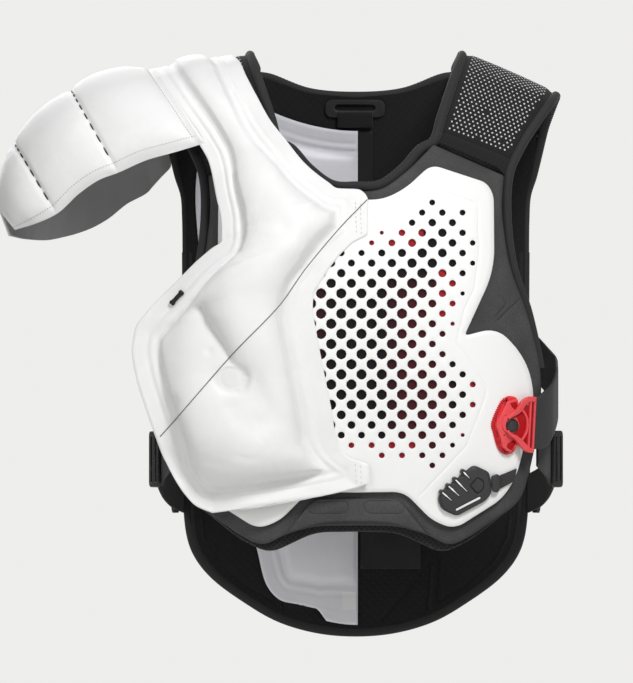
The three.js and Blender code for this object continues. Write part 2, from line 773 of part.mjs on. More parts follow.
// Side straps and their hardware
function webbing(rows, sign) {
  const grid = rows.map((row, i) => {
    const before = rows[Math.max(i - 1, 0)];
    const after = rows[Math.min(i + 1, rows.length - 1)];
    const along = new THREE.Vector3(after.x - before.x, after.y - before.y, 0).normalize();
    const out = new THREE.Vector3(-along.y, along.x, 0);
    if (out.x < 0) out.negate();
    return [row.topZ, row.lowZ].map((z) => ({
      inner: new THREE.Vector3(row.x * sign, row.y, z),
      outer: new THREE.Vector3((row.x + out.x * WEBBING_THICK) * sign, row.y + out.y * WEBBING_THICK, z),
    }));
  });
  return slab(grid);
}

// A flat shape lying in its own plane at a place, turned to face outwards
function laid(shape, thick, place, facing, turn, curveSegments = 2, cutouts = []) {
  const push = (outline, depth) =>
    new THREE.ExtrudeGeometry(outline, { depth, bevelEnabled: false, curveSegments });
  const cutters = cutouts.map((outline) => solidOf(push(outline, thick + 2).translate(0, 0, -1)));
  const geometry = geometryOf(trimmed(solidOf(push(shape, thick)), cutters));
  const z = facing.clone().normalize();
  const x = new THREE.Vector3(0, 0, 1).cross(z).normalize();
  const y = z.clone().cross(x);
  const basis = new THREE.Matrix4().makeBasis(x, y, z);
  geometry.rotateZ(turn);
  geometry.applyMatrix4(basis);
  geometry.translate(place.x, place.y, place.z);
  return geometry;
}

function box(u0, v0, u1, v1, r) {
  const corners = [[u0, v0], [u1, v0], [u1, v1], [u0, v1]].map(([u, v]) => ({ u, v, r }));
  return roundedPath(new THREE.Shape(), corners);
}

// Red closure on the right of the plate
const BUCKLE_X = 133;
const BUCKLE_Z = -307;
const buckleSpot = frontSkin.spotUnder(BUCKLE_X, BUCKLE_Z, plateFar);
const buckleFacing = frontSkin.normal(buckleSpot.x, BUCKLE_Z).setZ(0).normalize();
const buckleBase = seatedOn(
  plateMesh, frontSkin.over(BUCKLE_X, BUCKLE_Z, plateFar), buckleFacing, 18, 22);
const buckleSeat = (x, height) => {
  const seat = buckleBase.clone();
  const across = new THREE.Vector3(0, 0, 1).cross(buckleFacing).normalize();
  return seat.addScaledVector(across, x).addScaledVector(buckleFacing, height);
};
const knobCorners = table(['u', 'v', 'r'], [
  [-3, 25.5, 2], [5, 25, 3], [9.5, 19, 3], [7, -19, 3], [1, -27, 3], [-8, -27, 3], [-16, -20, 3], [-21, 0, 6], [-14.5, 18.5, 3],
]);
add('buckle_knob', laid(
  roundedPath(new THREE.Shape(), knobCorners), 6, buckleSeat(0, 0), buckleFacing, 0), 'red');
const frameCorners = table(['u', 'v', 'r'], [
  [-6, 8, 3], [20, 26.5, 2], [29, 26, 2], [24.5, 20, 1], [24.5, -20, 1], [29, -26, 2], [20, -26.5, 2], [-6, -8, 3],
]);
const frameShape = roundedPath(new THREE.Shape(), frameCorners);
const window = table(['u', 'v', 'r'], [[8.5, 8, 2], [18, 16, 1], [18, -16, 1], [8.5, -8, 2]]);
const opening = roundedPath(new THREE.Shape(), window);
add('buckle_frame', laid(frameShape, 4, buckleSeat(0, 6 + GAP), buckleFacing, 0, 2, [opening]), 'red');
const capShape = new THREE.Shape(circlePath(0, 0, 7, 14).getPoints(1));
add('buckle_cap', laid(capShape, 3, buckleSeat(0, 10 + 2 * GAP), buckleFacing, 0), 'hard');
const plainFacing = buckleFacing.clone().setX(-buckleFacing.x);
const plainSeat = buckleSeat(2, 0);
plainSeat.x *= -1;
add('buckle_left', laid(box(-20, -24, 20, 24, 4), 3, plainSeat, plainFacing, 0), 'red');

// Straps run from the back panel to the closure
const strapEnd = (u, height, topZ, lowZ) => {
  const spot = buckleSeat(u, height);
  return { x: spot.x, y: spot.y, topZ, lowZ };
};
const sideStrap = [...SIDE_STRAP, strapEnd(32, 1.4, -281, -329), strapEnd(21, 3.4, -288, -329)];
const TRIGLIDE = { width: 25, height: 50, thick: 3.5, slot: 5.5 };
SIDES.forEach(([name, sign]) => {
  add(`side_strap_${name}`, webbing(sideStrap, sign), 'binding');
  add(`adjuster_strap_${name}`, webbing(ADJUSTER_STRAP, sign), 'binding');
  add(`lower_strap_${name}`, webbing(LOWER_STRAP, sign), 'black');
  const slider = box(-TRIGLIDE.width / 2, -TRIGLIDE.height / 2, TRIGLIDE.width / 2, TRIGLIDE.height / 2, 5);
  const slots = [-6.2, 6.2].map((u) => box(u - TRIGLIDE.slot / 2, -20, u + TRIGLIDE.slot / 2, 20, 0));
  const facing = new THREE.Vector3(0.95 * sign, -0.31, 0);
  const place = new THREE.Vector3(175.5 * sign, -33, -338);
  add(`triglide_${name}`, laid(slider, TRIGLIDE.thick, place, facing, 0, 3, slots), 'hard');
  const ring = box(-9, -7, 9, 7, 3);
  const eye = box(-6.5, -4, 6.5, 4, 0);
  const anchor = new THREE.Vector3(158 * sign, 58.2, -379);
  add(`strap_loop_${name}`, laid(ring, 3, anchor, new THREE.Vector3(0.966 * sign, 0.26, 0), 0, 1, [eye]), 'hard');
});

// Status unit with its button, light guides and lead
const MODULE_X = 95.5;
const MODULE_Z = -365.5;
const MODULE_TURN = 0.59;
const moduleSpot = frontSkin.spotUnder(MODULE_X, MODULE_Z, plateFar);
const moduleFacing = frontSkin.normal(moduleSpot.x, MODULE_Z);
const moduleBase = seatedOn(plateMesh, frontSkin.over(MODULE_X, MODULE_Z, plateFar), moduleFacing, 26, 18);
const moduleSeat = (u, v, height) => {
  const seat = moduleBase.clone();
  const x = new THREE.Vector3(0, 0, 1).cross(moduleFacing).normalize();
  const y = moduleFacing.clone().cross(x);
  const cos = Math.cos(MODULE_TURN);
  const sin = Math.sin(MODULE_TURN);
  return seat.addScaledVector(x, u * cos - v * sin).addScaledVector(y, u * sin + v * cos)
    .addScaledVector(moduleFacing, height);
};
const MODULE_THICK = 5;
const onModule = (shape, u, v, height, thick, turn = 0, curveSegments = 3) =>
  laid(shape, thick, moduleSeat(u, v, height), moduleFacing, MODULE_TURN + turn, curveSegments);
add('module_body', onModule(roundedPath(new THREE.Shape(), MODULE_OUTLINE), 0, 0, 0, MODULE_THICK), 'hard');
const lid = MODULE_THICK + GAP;
add('module_button', onModule(
  new THREE.Shape(circlePath(0, 0, 7.4, 6).getPoints(1)), 11, -1.8, lid, 1.6, 0.5), 'hard');
LIGHT_GUIDES.forEach(({ u, low, high }, i) => {
  add(`light_guide_${i + 1}`, onModule(box(-1, low, 1, high, 0), u, 0, lid, 1.2), 'guide');
});
add('light_bar', onModule(box(-11, -0.8, 11, 0.8, 0), -4, -11, lid, 1.2), 'guide');

// Lead from the unit to the closure
const LEAD = table(['x', 'z', 'half'], [
  [122.6, -359.5, 8.5],
  [128, -356, 8],
  [132.5, -353.5, 7],
  [136.5, -350.5, 5.5],
]);
const leadGrid = (rows, thick) => rows.map((row) => [1, 0, -1].map((side) =>
  restingOn(plateMesh, row.x, row.z + side * row.half, -400, 0.5, thick)));
add('lead_clip', slab(leadGrid(LEAD.slice(0, 2), 4.6)), 'hard');
const leadRows = LEAD.slice(1).map((row, i) => ({ ...row, x: row.x + (i === 0 ? 0.5 : 0) }));
add('lead_strap', slab(leadGrid(leadRows, 1.8)), 'binding');

// Back of the neck: hanger and blank labels
function patch(corners, near, far, holesIn = []) {
  const shape = roundedPath(new THREE.Shape(), corners);
  shape.holes.push(...holesIn);
  const xs = corners.map((corner) => corner.x);
  const zs = corners.map((corner) => corner.z);
  const top = Math.max(...zs) + 2;
  const low = Math.min(...zs) - 2;
  const bands = Math.ceil((top - low) / 24);
  const grid = Array.from({ length: bands + 1 }, (_, i) => THREE.MathUtils.lerp(top, low, i / bands)).map((z) =>
    Array.from({ length: 3 }, (_, j) => {
      const x = THREE.MathUtils.lerp(Math.min(...xs) - 2, Math.max(...xs) + 2, j / 2);
      return { inner: backSkin.over(x, z, near), outer: backSkin.over(x, z, far) };
    }));
  return geometryOf(solidOf(slab(grid)).intersect(solidOf(prism(shape, 0, 200, 3))));
}
const rectangle = (x0, z0, x1, z1, r) =>
  [[x0, z0], [x1, z0], [x1, z1], [x0, z1]].map(([x, z]) => ({ x, z, r }));
const hangerSlot = capsulePath(-16, -27.5, 15, -27.5, 2.6, 4);
add('hanger_patch', patch(rectangle(-27, -36, 26, -20.5, 7), -3, -0.9, [hangerSlot]), 'hard');
add('hanger_loop', patch(rectangle(-16, -45, 15, -31.5, 0), -5.8, -3.4), 'black');
add('neck_label', patch(rectangle(-14, -100, 15, -48.5, 0), -1.9, -0.9), 'black');
add('care_label', patch(rectangle(4, -436, 58, -402, 0), -1.9, -0.9), 'black');

// Small pieces on the airbag
const labelGrid = [-456, -464, -472].map((z) =>
  [-12, -6, 0].map((x) => restingOn(backBag, x, z, 0, 0.6, 0.8)));
add('airbag_label', slab(labelGrid), 'guide');
const toggleGrid = [0, 0.5, 1].map((share) => [-2, 2].map((side) => {
  const x = THREE.MathUtils.lerp(-152, -162, share) + 0.7 * side;
  const z = THREE.MathUtils.lerp(-190, -201, share) - 0.7 * side;
  return restingOn(chestBag, x, z, -400, 2.1, 2.2);
}));
add('airbag_toggle', slab(toggleGrid), 'hard');

export default vest;
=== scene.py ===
"""Airbag vest for off-road riding: its shell, straps, closure, status unit and half-filled airbag."""

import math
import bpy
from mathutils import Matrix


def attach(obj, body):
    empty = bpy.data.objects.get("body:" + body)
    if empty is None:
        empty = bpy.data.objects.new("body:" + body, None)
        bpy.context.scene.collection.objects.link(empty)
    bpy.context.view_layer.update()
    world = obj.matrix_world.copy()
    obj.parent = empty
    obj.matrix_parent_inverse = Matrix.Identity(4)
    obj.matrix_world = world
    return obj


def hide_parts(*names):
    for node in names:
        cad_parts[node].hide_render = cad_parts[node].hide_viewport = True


bl_info = {
    "name": "Airbag vest",
    "version": (1, 0, 0),
    "blender": (4, 5, 0),
    "location": "View3D > Sidebar > Vest",
    "description": "Dresses the packed airbag vest with its soft goods, mouldings and finishes",
    "category": "Add Mesh",
}

import bpy
import numpy as np
from mathutils import Vector
from mathutils.bvhtree import BVHTree
from mathutils.geometry import delaunay_2d_cdt
from numpy.linalg import norm

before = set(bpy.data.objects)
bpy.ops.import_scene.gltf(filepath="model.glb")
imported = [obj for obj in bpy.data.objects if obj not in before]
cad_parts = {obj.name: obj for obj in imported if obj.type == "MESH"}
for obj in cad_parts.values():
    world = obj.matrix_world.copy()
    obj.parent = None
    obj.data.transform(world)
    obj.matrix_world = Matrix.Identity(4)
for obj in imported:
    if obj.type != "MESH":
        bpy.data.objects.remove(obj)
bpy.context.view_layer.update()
BODY = "root"

# Layers in millimetres, counted outwards from the wearer's body
LINER_THICK = 4.7
FOAM_NEAR, FOAM_FAR = 5.0, 13.0
BACKING_NEAR, BACKING_FAR = 13.3, 14.7
PLATE_NEAR, PLATE_FAR = 15.0, 18.0
BAG_SEAT = 18.3
BAG_STANDOFF = 10
BAG_FLARE = 0.00165
BACK_THICK = 9.0
STRAP_THICK = 8.0
BINDING_RADIUS = 4.2
WEBBING_THICK = 2.2
HALF_PITCH = 8.875
HOLE_ROWS, HOLE_COLUMNS = 28, 16
SIDES = (("right", 1), ("left", -1))
HOLE_TOP, HOLE_LEFT = -112.5, -128.4
CUT_LINE = 1.8

# Body behind the front and before the back: height, depth, half width
FRONT_SECTIONS = [
    (20, 60, 150), (-40, 80, 152), (-110, 104, 158), (-200, 124, 168),
    (-300, 125, 184), (-400, 113, 184), (-500, 104, 180),
]
BACK_SECTIONS = [
    (30, 66, 196), (-60, 102, 194), (-150, 124, 176),
    (-250, 124, 170), (-350, 112, 170), (-500, 98, 172),
]

# Right halves of the outlines seen from the front: x, z and corner radius
PLATE_OUTLINE = [
    (0, -110, 0), (24, -110, 14), (44, -99.5, 10), (66, -79, 9), (115, -95, 9), (121, -106, 9),
    (121.5, -172, 20), (95, -229.5, 4), (124, -222, 16), (150, -250, 24), (158, -287, 24),
    (140.5, -354, 14), (128, -373, 10), (86, -399.5, 12), (66, -391, 8), (42, -366.5, 10), (0, -367, 0),
]
PANEL_OUTLINE = [
    (0, -103, 0), (22, -102, 12), (44, -86, 14), (68, -61.5, 0), (130, -88.7, 0), (127.5, -118, 20),
    (134, -168, 24), (150, -207, 16), (164, -262, 30), (161, -310, 24), (151, -355, 16), (144, -375, 10),
    (102, -404.5, 8), (82, -415, 12), (62, -403.5, 12), (36, -396.5, 10), (0, -396, 0),
]
LINER_OUTLINE = PANEL_OUTLINE[:12] + [
    (102, -408, 8), (76, -421, 12), (36, -402, 12), (0, -401.5, 0),
]
BACK_OUTLINE = [
    (0, -18.5, 0), (42, -15, 12), (85, 0, 0), (161, -44.5, 0), (158, -76, 10), (150, -108, 16),
    (149, -200, 0), (150, -290, 30), (147, -397, 14), (125, -440.5, 16), (68, -478, 20), (0, -491, 0),
]
TRIM_OUTLINE = [
    (0, -372.2, 0), (37, -372.4, 8), (62, -403.6, 2), (30, -393.3, 10), (0, -392.4, 0),
]
HOLE_FIELD = [
    (0, -151, 0), (12, -146, 0), (64, -107, 0), (97, -117, 0), (106, -143, 0), (105, -168, 0),
    (92, -200, 0), (80, -237, 0), (108, -264, 0), (107, -300, 0), (70, -349, 0), (52, -340, 0),
    (14, -338, 0), (9, -330, 0), (0, -330, 0),
]

# Fine lines pressed into the mouldings, seen from the front
PLATE_LINE = [
    (65.6, -98.6), (106.9, -113.5), (108.2, -155.8), (103.8, -188.3), (95, -206.8), (88.4, -235.8),
    (105.6, -260.9), (114.9, -275.4), (112.6, -286), (96.8, -326.5), (55.4, -370.5),
]
FOAM_LINES = [
    [(127.6, -194.5), (132, -201.5), (124.1, -211.2)],
    [(143.4, -198), (125.8, -214.7)],
]
# Half width and depth of those lines
FOAM_GROOVE, PLATE_GROOVE, TRIM_GROOVE = (0.75, 0.9), (0.7, 0.4), (0.7, 0.7)
# Seams sewn into the inside of the back
BACK_SEAMS = [
    [(66, -431.6), (24.2, -481.1)], [(67.4, -433), (63.7, -470)], [(74.8, -429), (72, -462)],
    [(136, -391), (134, -408), (121.7, -430.3), (99.4, -450.2), (74.8, -464)],
    [(86.2, -19.8), (95.9, -42.2)],
]
BACK_FOLD = np.array([(70.5, -420.0), (67.5, -468.0)])
# Blank labels inside the back: piece, node and corners x, z, x, z
BACK_LABELS = [
    ("neck_label_satin", "neck_label", -14, -100, 15, -48.5),
    ("care_label_satin", "care_label", 4, -436, 58, -402),
]

# Shoulder strap from its front end to the back: neck side x, y, z and arm side x, y, z
STRAP_STATIONS = [
    (68.5, -84, -60.5, 131, -66, -87.5), (75, -76, -41, 140, -55, -66), (84, -58, -15, 154, -40, -44),
    (91, -34, 4, 168, -22, -26), (94, -6, 13, 172, 2, -21), (93, 24, 10, 172, 28, -23),
    (89, 48, 2, 168, 48, -33), (87, 75, -4, 162.5, 66, -47.6),
]
# How far the arm side of the pad reaches under its neighbours, at the front and at the back
STRAP_REACH = (3, 8)
EYELET_RADIUS, EYELET_HEIGHT = 0.86, 0.3

# Edgings: points of the right half, seen from the front
FRONT_NECK = [(0, -100), (20, -99), (40, -85), (56, -67)]
BACK_NECK = [(76, -1.5), (42, -14), (0, -17.5)]
FRONT_ARM = [(161.6, -258), (158.6, -242), (150.7, -208), (137.8, -168), (132.4, -120)]
BACK_ARM = [(160, -73), (156, -89), (151, -105), (149.6, -127), (149.2, -156.4)]
BACK_EDGE = [
    (149.2, -155.6), (149, -205), (150, -290), (148.5, -372), (144.5, -408), (138, -424),
    (124.2, -441), (97.3, -461.2), (68, -478.2), (34.5, -488.2), (0, -491.2),
]

# Chest lobe of the airbag over the shoulder: left x, y, z and right x, y, z
LOBE_SHOULDER = [
    (-180, 66, -20, -101, 73, 2), (-182, 36, -1, -106, 42, 13), (-182.5, 4, 4, -109, 2, 17.2),
    (-179, -30, -1, -103, -36, 12.6), (-169.5, -60, -15.5, -96, -61, -2),
    (-155, -79, -37, -86, -80, -21), (-138, -87, -61, -76, -92, -39), (-129, -94, -78, -62, -103, -57),
]
# The same lobe on the chest: left x, z and right x, z
LOBE_CHEST = [
    (-123, -106, -44, -79), (-118, -134, -24, -95), (-118, -146, -16, -100), (-127, -153, 2, -101),
    (-133, -158, 10.5, -111), (-141, -165, 10.5, -139), (-148, -172, -3, -148), (-158, -182, -18, -163),
    (-172, -196, -31, -182), (-184, -209, -37, -193), (-194, -223, -38, -204), (-197, -243, -33, -236),
    (-193, -267, -27, -267), (-186, -290, -22, -292), (-175, -321, -16, -324), (-170, -334, -6, -336),
    (-166, -342, 11, -343), (-158, -357, 11, -358), (-150, -369, -6, -364.5), (-140, -379, -40, -372),
    (-126, -385, -84, -379.5),
]
LOBE_CREASE = [
    (-133, -206), (-126, -219), (-120, -230), (-110, -243), (-102, -262), (-92, -285), (-82, -306),
    (-74, -318),
]
WELD_DISC = (-105.6, -267.0)
DISC_RADIUS = 12.0
DISC_HEIGHT = 13
# Rings of the disc: rise, radius, width
DISC_RINGS = [(0.5, 10.9, 1.3), (-0.5, 8.8, 1.0), (-0.6, 13.0, 1.2)]
# Height of the lobe along the crease, by share of its length, and the corner of the lobe beside the crease
CREASE_HEIGHTS = ([0, 0.25, 0.5, 0.75, 1], [6, 9.5, 13, 17, 20])
LOBE_CORNER = [(-40, -400), (-230, -400), (-230, -206)]
# Power that rounds the filled lobe over its welds
FILL = 0.5
# Small dents in the lobe: x, z, radius, depth
LOBE_DENTS = [(-124, -244, 3.5, 0.9), (-156, -288, 6, 1.8), (-64, -140, 8, 1.4), (-30, -150, 9, 1.6)]
# The sewing tabs begin where the lobe's rim would have been
TAB_FOOT = 2.5
RIM_WIDTH = 13
FOLD_THREAD = [
    (9.7, -110), (-14, -134.6), (-44.9, -171.6), (-66.9, -202.4), (-109, -246.4), (-159, -303.6),
    (-172, -318),
]
# Weld of the lobe: its band, and what band and flange gain beside the crease
WELD_BAND, BAND_GAIN, FLANGE_GAIN = 8.5, 4, 3.5

# Back lobe: z at its left edge, left x, z at its right edge
BACK_LOBE = [
    (-20, -96, -48), (-46, -122, -66), (-72, -139, -84), (-106, -142, -112), (-150, -139, -152),
    (-210, -129, -210), (-270, -118, -270), (-330, -106, -330), (-385, -95, -385), (-425, -86, -425),
    (-448, -80, -450), (-464, -66, -467), (-470.5, -36, -478), (-482, -26, -485.5),
]
BACK_HEM = -470
BACK_FLANGE, BACK_BAND = 12, 9

# Shoulder cap from neck to arm: front hem x, y, z, crest x, y, z and back edge x, y, z
CAP_SECTIONS = [
    (-139, -87, -62, -183.5, 4, 3, -177, 84, -86), (-159, -88, -68, -200, 4, 2, -182, 88, -100),
    (-184, -86, -75, -223, 4, -3, -203, 88, -113), (-209, -82, -86, -250, 4, -15, -221, 86, -127),
    (-225, -80, -92, -264, 4, -26, -236, 82, -135), (-243, -74, -104, -280, 4, -40, -254, 76, -141),
    (-263, -66, -122, -299, 4, -62, -276, 68, -145), (-280, -58, -130, -308, 4, -86, -292, 58, -144),
    (-300, -40, -136, -315, 4, -118, -306, 42, -141),
]
CAP_SEAMS = (1, 4, 7, 9)
CAP_LAP = 7.0
CAP_COLUMNS = 85
# How far the rear inner corner reaches towards the neck
CAP_REACH = 10

# Webbing at the side: x, y, upper z, lower z
SIDE_STRAP = [
    (152.3, 74.9, -222, -262), (167, 40, -238, -279), (176, 0, -250, -292), (176, -48, -258, -302),
    (172, -84, -270, -318),
]
ADJUSTER_STRAP = [
    (158.3, -80, -323, -344), (163, -66, -321, -349), (166.8, -52, -318, -354), (170.5, -39, -314, -361),
]
LOWER_STRAP = [
    (174, -28.3, -325, -361), (169.5, 6, -337, -372), (161.5, 36, -346, -381), (151.7, 68.8, -352, -386),
]

# Bare red cloth behind the holes: distance from the middle, from and to, and height, from and to
RED_ZONES = [
    (-2, 58, -150, -135), (71, 86.5, -222, -171), (98, 108, -295, -266), (90, 98, -320, -312),
    (-2, 55, -340, -322),
]

# Stitches in millimetres: pitch, unless an input gives it, length, thread and finish
STITCHES = {
    "edge_stitches": (None, 1.9, 0.55, "thread_black"),
    "tab_stitches": (3.8, 2.3, 0.8, "thread_white"),
    "cap_dashes": (13.0, 9.6, 1.5, "thread_black"),
    "cap_hem_stitches": (2.6, 1.5, 0.5, "thread_line"),
}

# Where the closure and the status unit sit: node, x, z, whether it leans with the plate, and its turn
KNOB_SEAT = ("buckle_knob", 133, -307, False, 0.0)
UNIT_SEAT = ("module_body", 95.5, -365.5, True, 0.59)
# Rows of the side strap under the closure: distance from its middle, height, upper z, lower z
STRAP_ENDS = [(32, 1.4, -281, -329), (21, 3.4, -288, -329)]

# Status unit in its own plane: u along, v across, corner radius
MODULE_OUTLINE = [
    (18.5, 15.5, 4), (-17.5, 12, 3), (-24.5, 8.5, 4), (-26.5, -2, 4), (-18.5, -14.5, 4), (10, -17.5, 4),
    (19, -15, 4), (27, 2, 4),
]
# Seen from the front: ends of the light slots, x and z, and the corners of the button on the unit's face
LIGHT_SLOTS = [
    [(75.6, -366.9), (83.6, -373.9)], [(81.2, -361.4), (90.3, -369.9)], [(87.2, -355.8), (97.4, -366.2)],
    [(94.2, -349), (99.3, -354.3)],
]
LIGHT_BAR = [(88.3, -382), (108.1, -371.8)]
UNIT_FACE = 5.2
GROOVE_HALVES, GUIDE_HALVES = (1.3, 1.3, 0.9, 0.7), (0.5, 0.75, 0.35, 0.2)
BUTTON = [(99.4, -360.7), (106.3, -353.6), (112.3, -356.6), (111.8, -364.4), (106.2, -368.3)]
LEAD_CLIP = [
    (118.5, -352.2), (124.4, -350.5), (127.2, -354), (126.7, -363.4), (124.4, -367.4), (119.7, -366.5),
]
LEAD_TAPE = [(125.5, -352.2), (141.2, -345.8), (139.6, -356.8), (125.5, -364.4)]

# Closure as seen from the front: x, z, and the heights of its levels
GRIP_TOP, FACE_TOP, PLATE_TOP, RIB_TOP, ARM_TOP, CAP_TOP = 4.0, 6.0, 7.6, 9.8, 10.4, 11.0
KNOB_PINS = [(131.5, -299.6), (130, -316.7)]
CLOSURE_CENTRE = (138.3, -308.2)
KNOB_FACE = [
    (141.2, -285.1), (137.3, -285.8), (132.9, -287.4), (130.9, -292.2), (123.8, -305.4), (123.5, -308.9),
    (127.8, -321.6), (128.9, -327.1), (132.4, -330.6), (136.8, -331.4), (139.5, -328.7), (145.2, -321.2),
    (147, -308), (145.2, -293),
]
KNOB_POCKETS = [
    [(135.2, -288.6), (140.5, -287.1), (143.3, -294.4), (141.1, -296), (136.8, -292.2)],
    [(132.9, -323.9), (138.3, -320.8), (140.7, -322.3), (137.2, -329.8), (134.8, -329.5), (132.1, -327.1)],
]
KNOB_GRIP = [
    (142.3, -283.7), (134.9, -281.9), (129.8, -284.4), (126.9, -288.1), (120.6, -303.5), (120, -308.6),
    (121.7, -314.5), (125.4, -326.9), (129.1, -332.1), (134.9, -333.8), (140.1, -331.3), (143, -325.5),
    (146, -321), (147, -308), (145.2, -293),
]
# Arms and ribs of the yoke: x, z, half the width
YOKE_ARMS = [
    [(158.6, -285.4, 2.2), (152.5, -285.2, 2.4), (148, -288.3, 2.6), (145, -293.2, 2.4), (141.5, -297, 1.9),
     (137.5, -299.3, 1.5), (134.5, -302.3, 1)],
    [(156, -330.4, 2), (151.5, -329.3, 2.3), (147.5, -325.6, 2.5), (144, -321.6, 2.3), (140.5, -318.7, 1.9),
     (136.5, -316.3, 1.5), (133.5, -313, 1)],
]
YOKE_RIBS = [
    [(154, -287, 0.95), (152.9, -308, 0.95), (151.8, -329, 0.95)],
    [(157.7, -286.4, 1), (156.6, -308, 1), (155.5, -329.9, 1)],
    [(146, -293.9, 1), (150, -300.5, 1), (151.1, -307.9, 1), (149.6, -315.2, 1), (145.6, -321.8, 1)],
]
YOKE_PLATE = [(139, -297), (148, -292), (155, -288.5), (153, -328), (146, -320), (138, -318), (144, -308)]

# Studio in metres: floor, view from the front, and the lamps by place, aim, size and watts
FLOOR_RADIUS, FLOOR_LEVEL = 1.6, -0.62
SENSOR = 36
VIEW_PLACE = (-0.03476, -24.06, -0.2345)
VIEW_DISTANCE, VIEW_WIDTH = 24.0, 0.60104
LAMPS = {
    "key": ((1.0, -2.6, 2.0), (0, 0, -0.25), 1.0, 80),
    "fill": ((-2.0, -2.8, 0.3), (0, 0, -0.25), 2.0, 23),
    "top": ((-1.0, -0.6, 2.4), (0, 0, -0.2), 1.6, 12),
    "rear": ((-0.8, 2.8, 0.9), (0, 0, -0.25), 2.2, 40),
    "low": ((1.8, -2.2, -1.1), (0.05, 0, -0.3), 1.6, 9),
}


def tint(code):
    """Linear colour of an sRGB hex code."""
    parts = [int(code[i:i + 2], 16) / 255 for i in (1, 3, 5)]
    return [p / 12.92 if p <= 0.04045 else ((p + 0.055) / 1.055) ** 2.4 for p in parts]


def colour_input(title, about, code):
    return bpy.props.FloatVectorProperty(
        name=title, description=about, subtype="COLOR", size=3, min=0, max=1, default=tint(code))


class VestColours(bpy.types.PropertyGroup):
    plate: colour_input("Plate", "Moulded chest plate", "#F9F9F8")
    foam: colour_input("Foam", "Moulded foam of the front", "#454546")
    cloth: colour_input("Cloth", "Black textile of the back and liner", "#1B1B1D")
    edging: colour_input("Edging", "Tape round the edges", "#303032")
    bag: colour_input("Airbag", "Coated cloth of the airbag", "#F1F1F1")
    bag_inside: colour_input("Back lobe", "Airbag cloth against the back", "#EBEBF2")
    lining: colour_input("Lining", "Woven lining under the shoulder cap", "#BABABC")
    closure: colour_input("Closure", "Moulded side closure", "#E62832")
    webbing: colour_input("Webbing", "Outer face of the side straps", "#3C3C3E")


def length_input(title, about, usual, least, most):
    return bpy.props.FloatProperty(
        name=title, description=about, default=usual, min=least, max=most, unit="LENGTH")


class VestSizes(bpy.types.PropertyGroup):
    hole: length_input("Largest hole", "Radius of the plate's middle holes", 0.00453, 0.001, 0.006)
    flange: length_input("Weld flange", "Flat margin of the airbag outside its weld", 0.0115, 0.003, 0.02)
    plump: length_input("Fill height", "How far the chest lobe stands above its welds", 0.029, 0.005, 0.04)
    dot_pitch: length_input("Mesh pitch", "Distance between the strap's pale eyelets", 0.00451, 0.002, 0.01)
    stitch: length_input("Stitch pitch", "Distance between edge stitches", 0.0032, 0.002, 0.01)


# Lines, outlines and smooth values

def smooth(value, low, high):
    share = np.clip((value - low) / (high - low), 0, 1)
    return share * share * (3 - 2 * share)


def unit(rows):
    """The same directions at length one."""
    return rows / norm(rows, axis=-1, keepdims=True)


def leftward(lead):
    """Flat directions turned a quarter to the left."""
    return np.stack([-lead[:, 1], lead[:, 0]], axis=1)


def steps_along(line):
    """Distance of each point from the start of a line."""
    return np.concatenate([[0], np.cumsum(norm(np.diff(line, axis=0), axis=1))])


def flipped(line):
    """The same line on the other half of the vest."""
    return [(-x, z) for x, z in line]


def spaced(line, step, closed=False):
    """The same line again with points about one step apart."""
    line = np.asarray(line, float)
    if closed:
        line = np.vstack([line, line[:1]])
    along = steps_along(line)
    count = max(2, int(round(along[-1] / step)))
    at = np.linspace(0, along[-1], count + 1)
    out = np.stack([np.interp(at, along, line[:, k]) for k in range(line.shape[1])], axis=1)
    return out[:-1] if closed else out


def mirrored(half):
    return list(half) + [(-x, z, r) for x, z, r in reversed(half) if x > 0]


def rounded(corners, step=2.0):
    """Closed outline through corners, each eased by its own radius."""
    spots = np.array([corner[:2] for corner in corners], float)
    path = []
    for i, spot in enumerate(spots):
        before, after = spots[i - 1] - spot, spots[(i + 1) % len(spots)] - spot
        back, on = norm(before), norm(after)
        reach = min(corners[i][2], back / 2, on / 2)
        if reach <= 0:
            path.append(spot)
            continue
        enter, leave = spot + before * reach / back, spot + after * reach / on
        for t in np.linspace(0, 1, 9):
            path.append((1 - t) ** 2 * enter + 2 * t * (1 - t) * spot + t * t * leave)
    return spaced(path, step, closed=True)


def ring(x, z, radius, sides):
    turn = np.arange(sides) * 2 * np.pi / sides
    return np.stack([x + radius * np.cos(turn), z + radius * np.sin(turn)], axis=1)


def capsule(x0, z0, x1, z1, radius):
    angle = math.atan2(z1 - z0, x1 - x0)
    halves = []
    for x, z, quarter in ((x0, z0, np.pi / 2), (x1, z1, -np.pi / 2)):
        turn = angle + quarter + np.linspace(0, np.pi, 8)
        halves.append(np.stack([x + radius * np.cos(turn), z + radius * np.sin(turn)], axis=1))
    return np.vstack(halves)


def ribbon(start, end, halves):
    """Outline of a straight strip whose half width changes along it."""
    share = np.linspace(0, 1, 20)
    lead = unit(end - start)
    half = np.interp(share, np.linspace(0, 1, len(halves)), halves)[:, None]
    path = start + (end - start) * share[:, None]
    cross = half * np.array([-lead[1], lead[0]])
    return np.vstack([path + cross, (path - cross)[::-1]])


def inside(points, outline):
    a, b = outline, np.roll(outline, -1, axis=0)
    x, z = points[:, :1], points[:, 1:2]
    crossing = (a[:, 1] > z) != (b[:, 1] > z)
    rise = np.where(b[:, 1] == a[:, 1], 1e-9, b[:, 1] - a[:, 1])
    return (crossing & (x < (b[:, 0] - a[:, 0]) * (z - a[:, 1]) / rise + a[:, 0])).sum(1) % 2 == 1


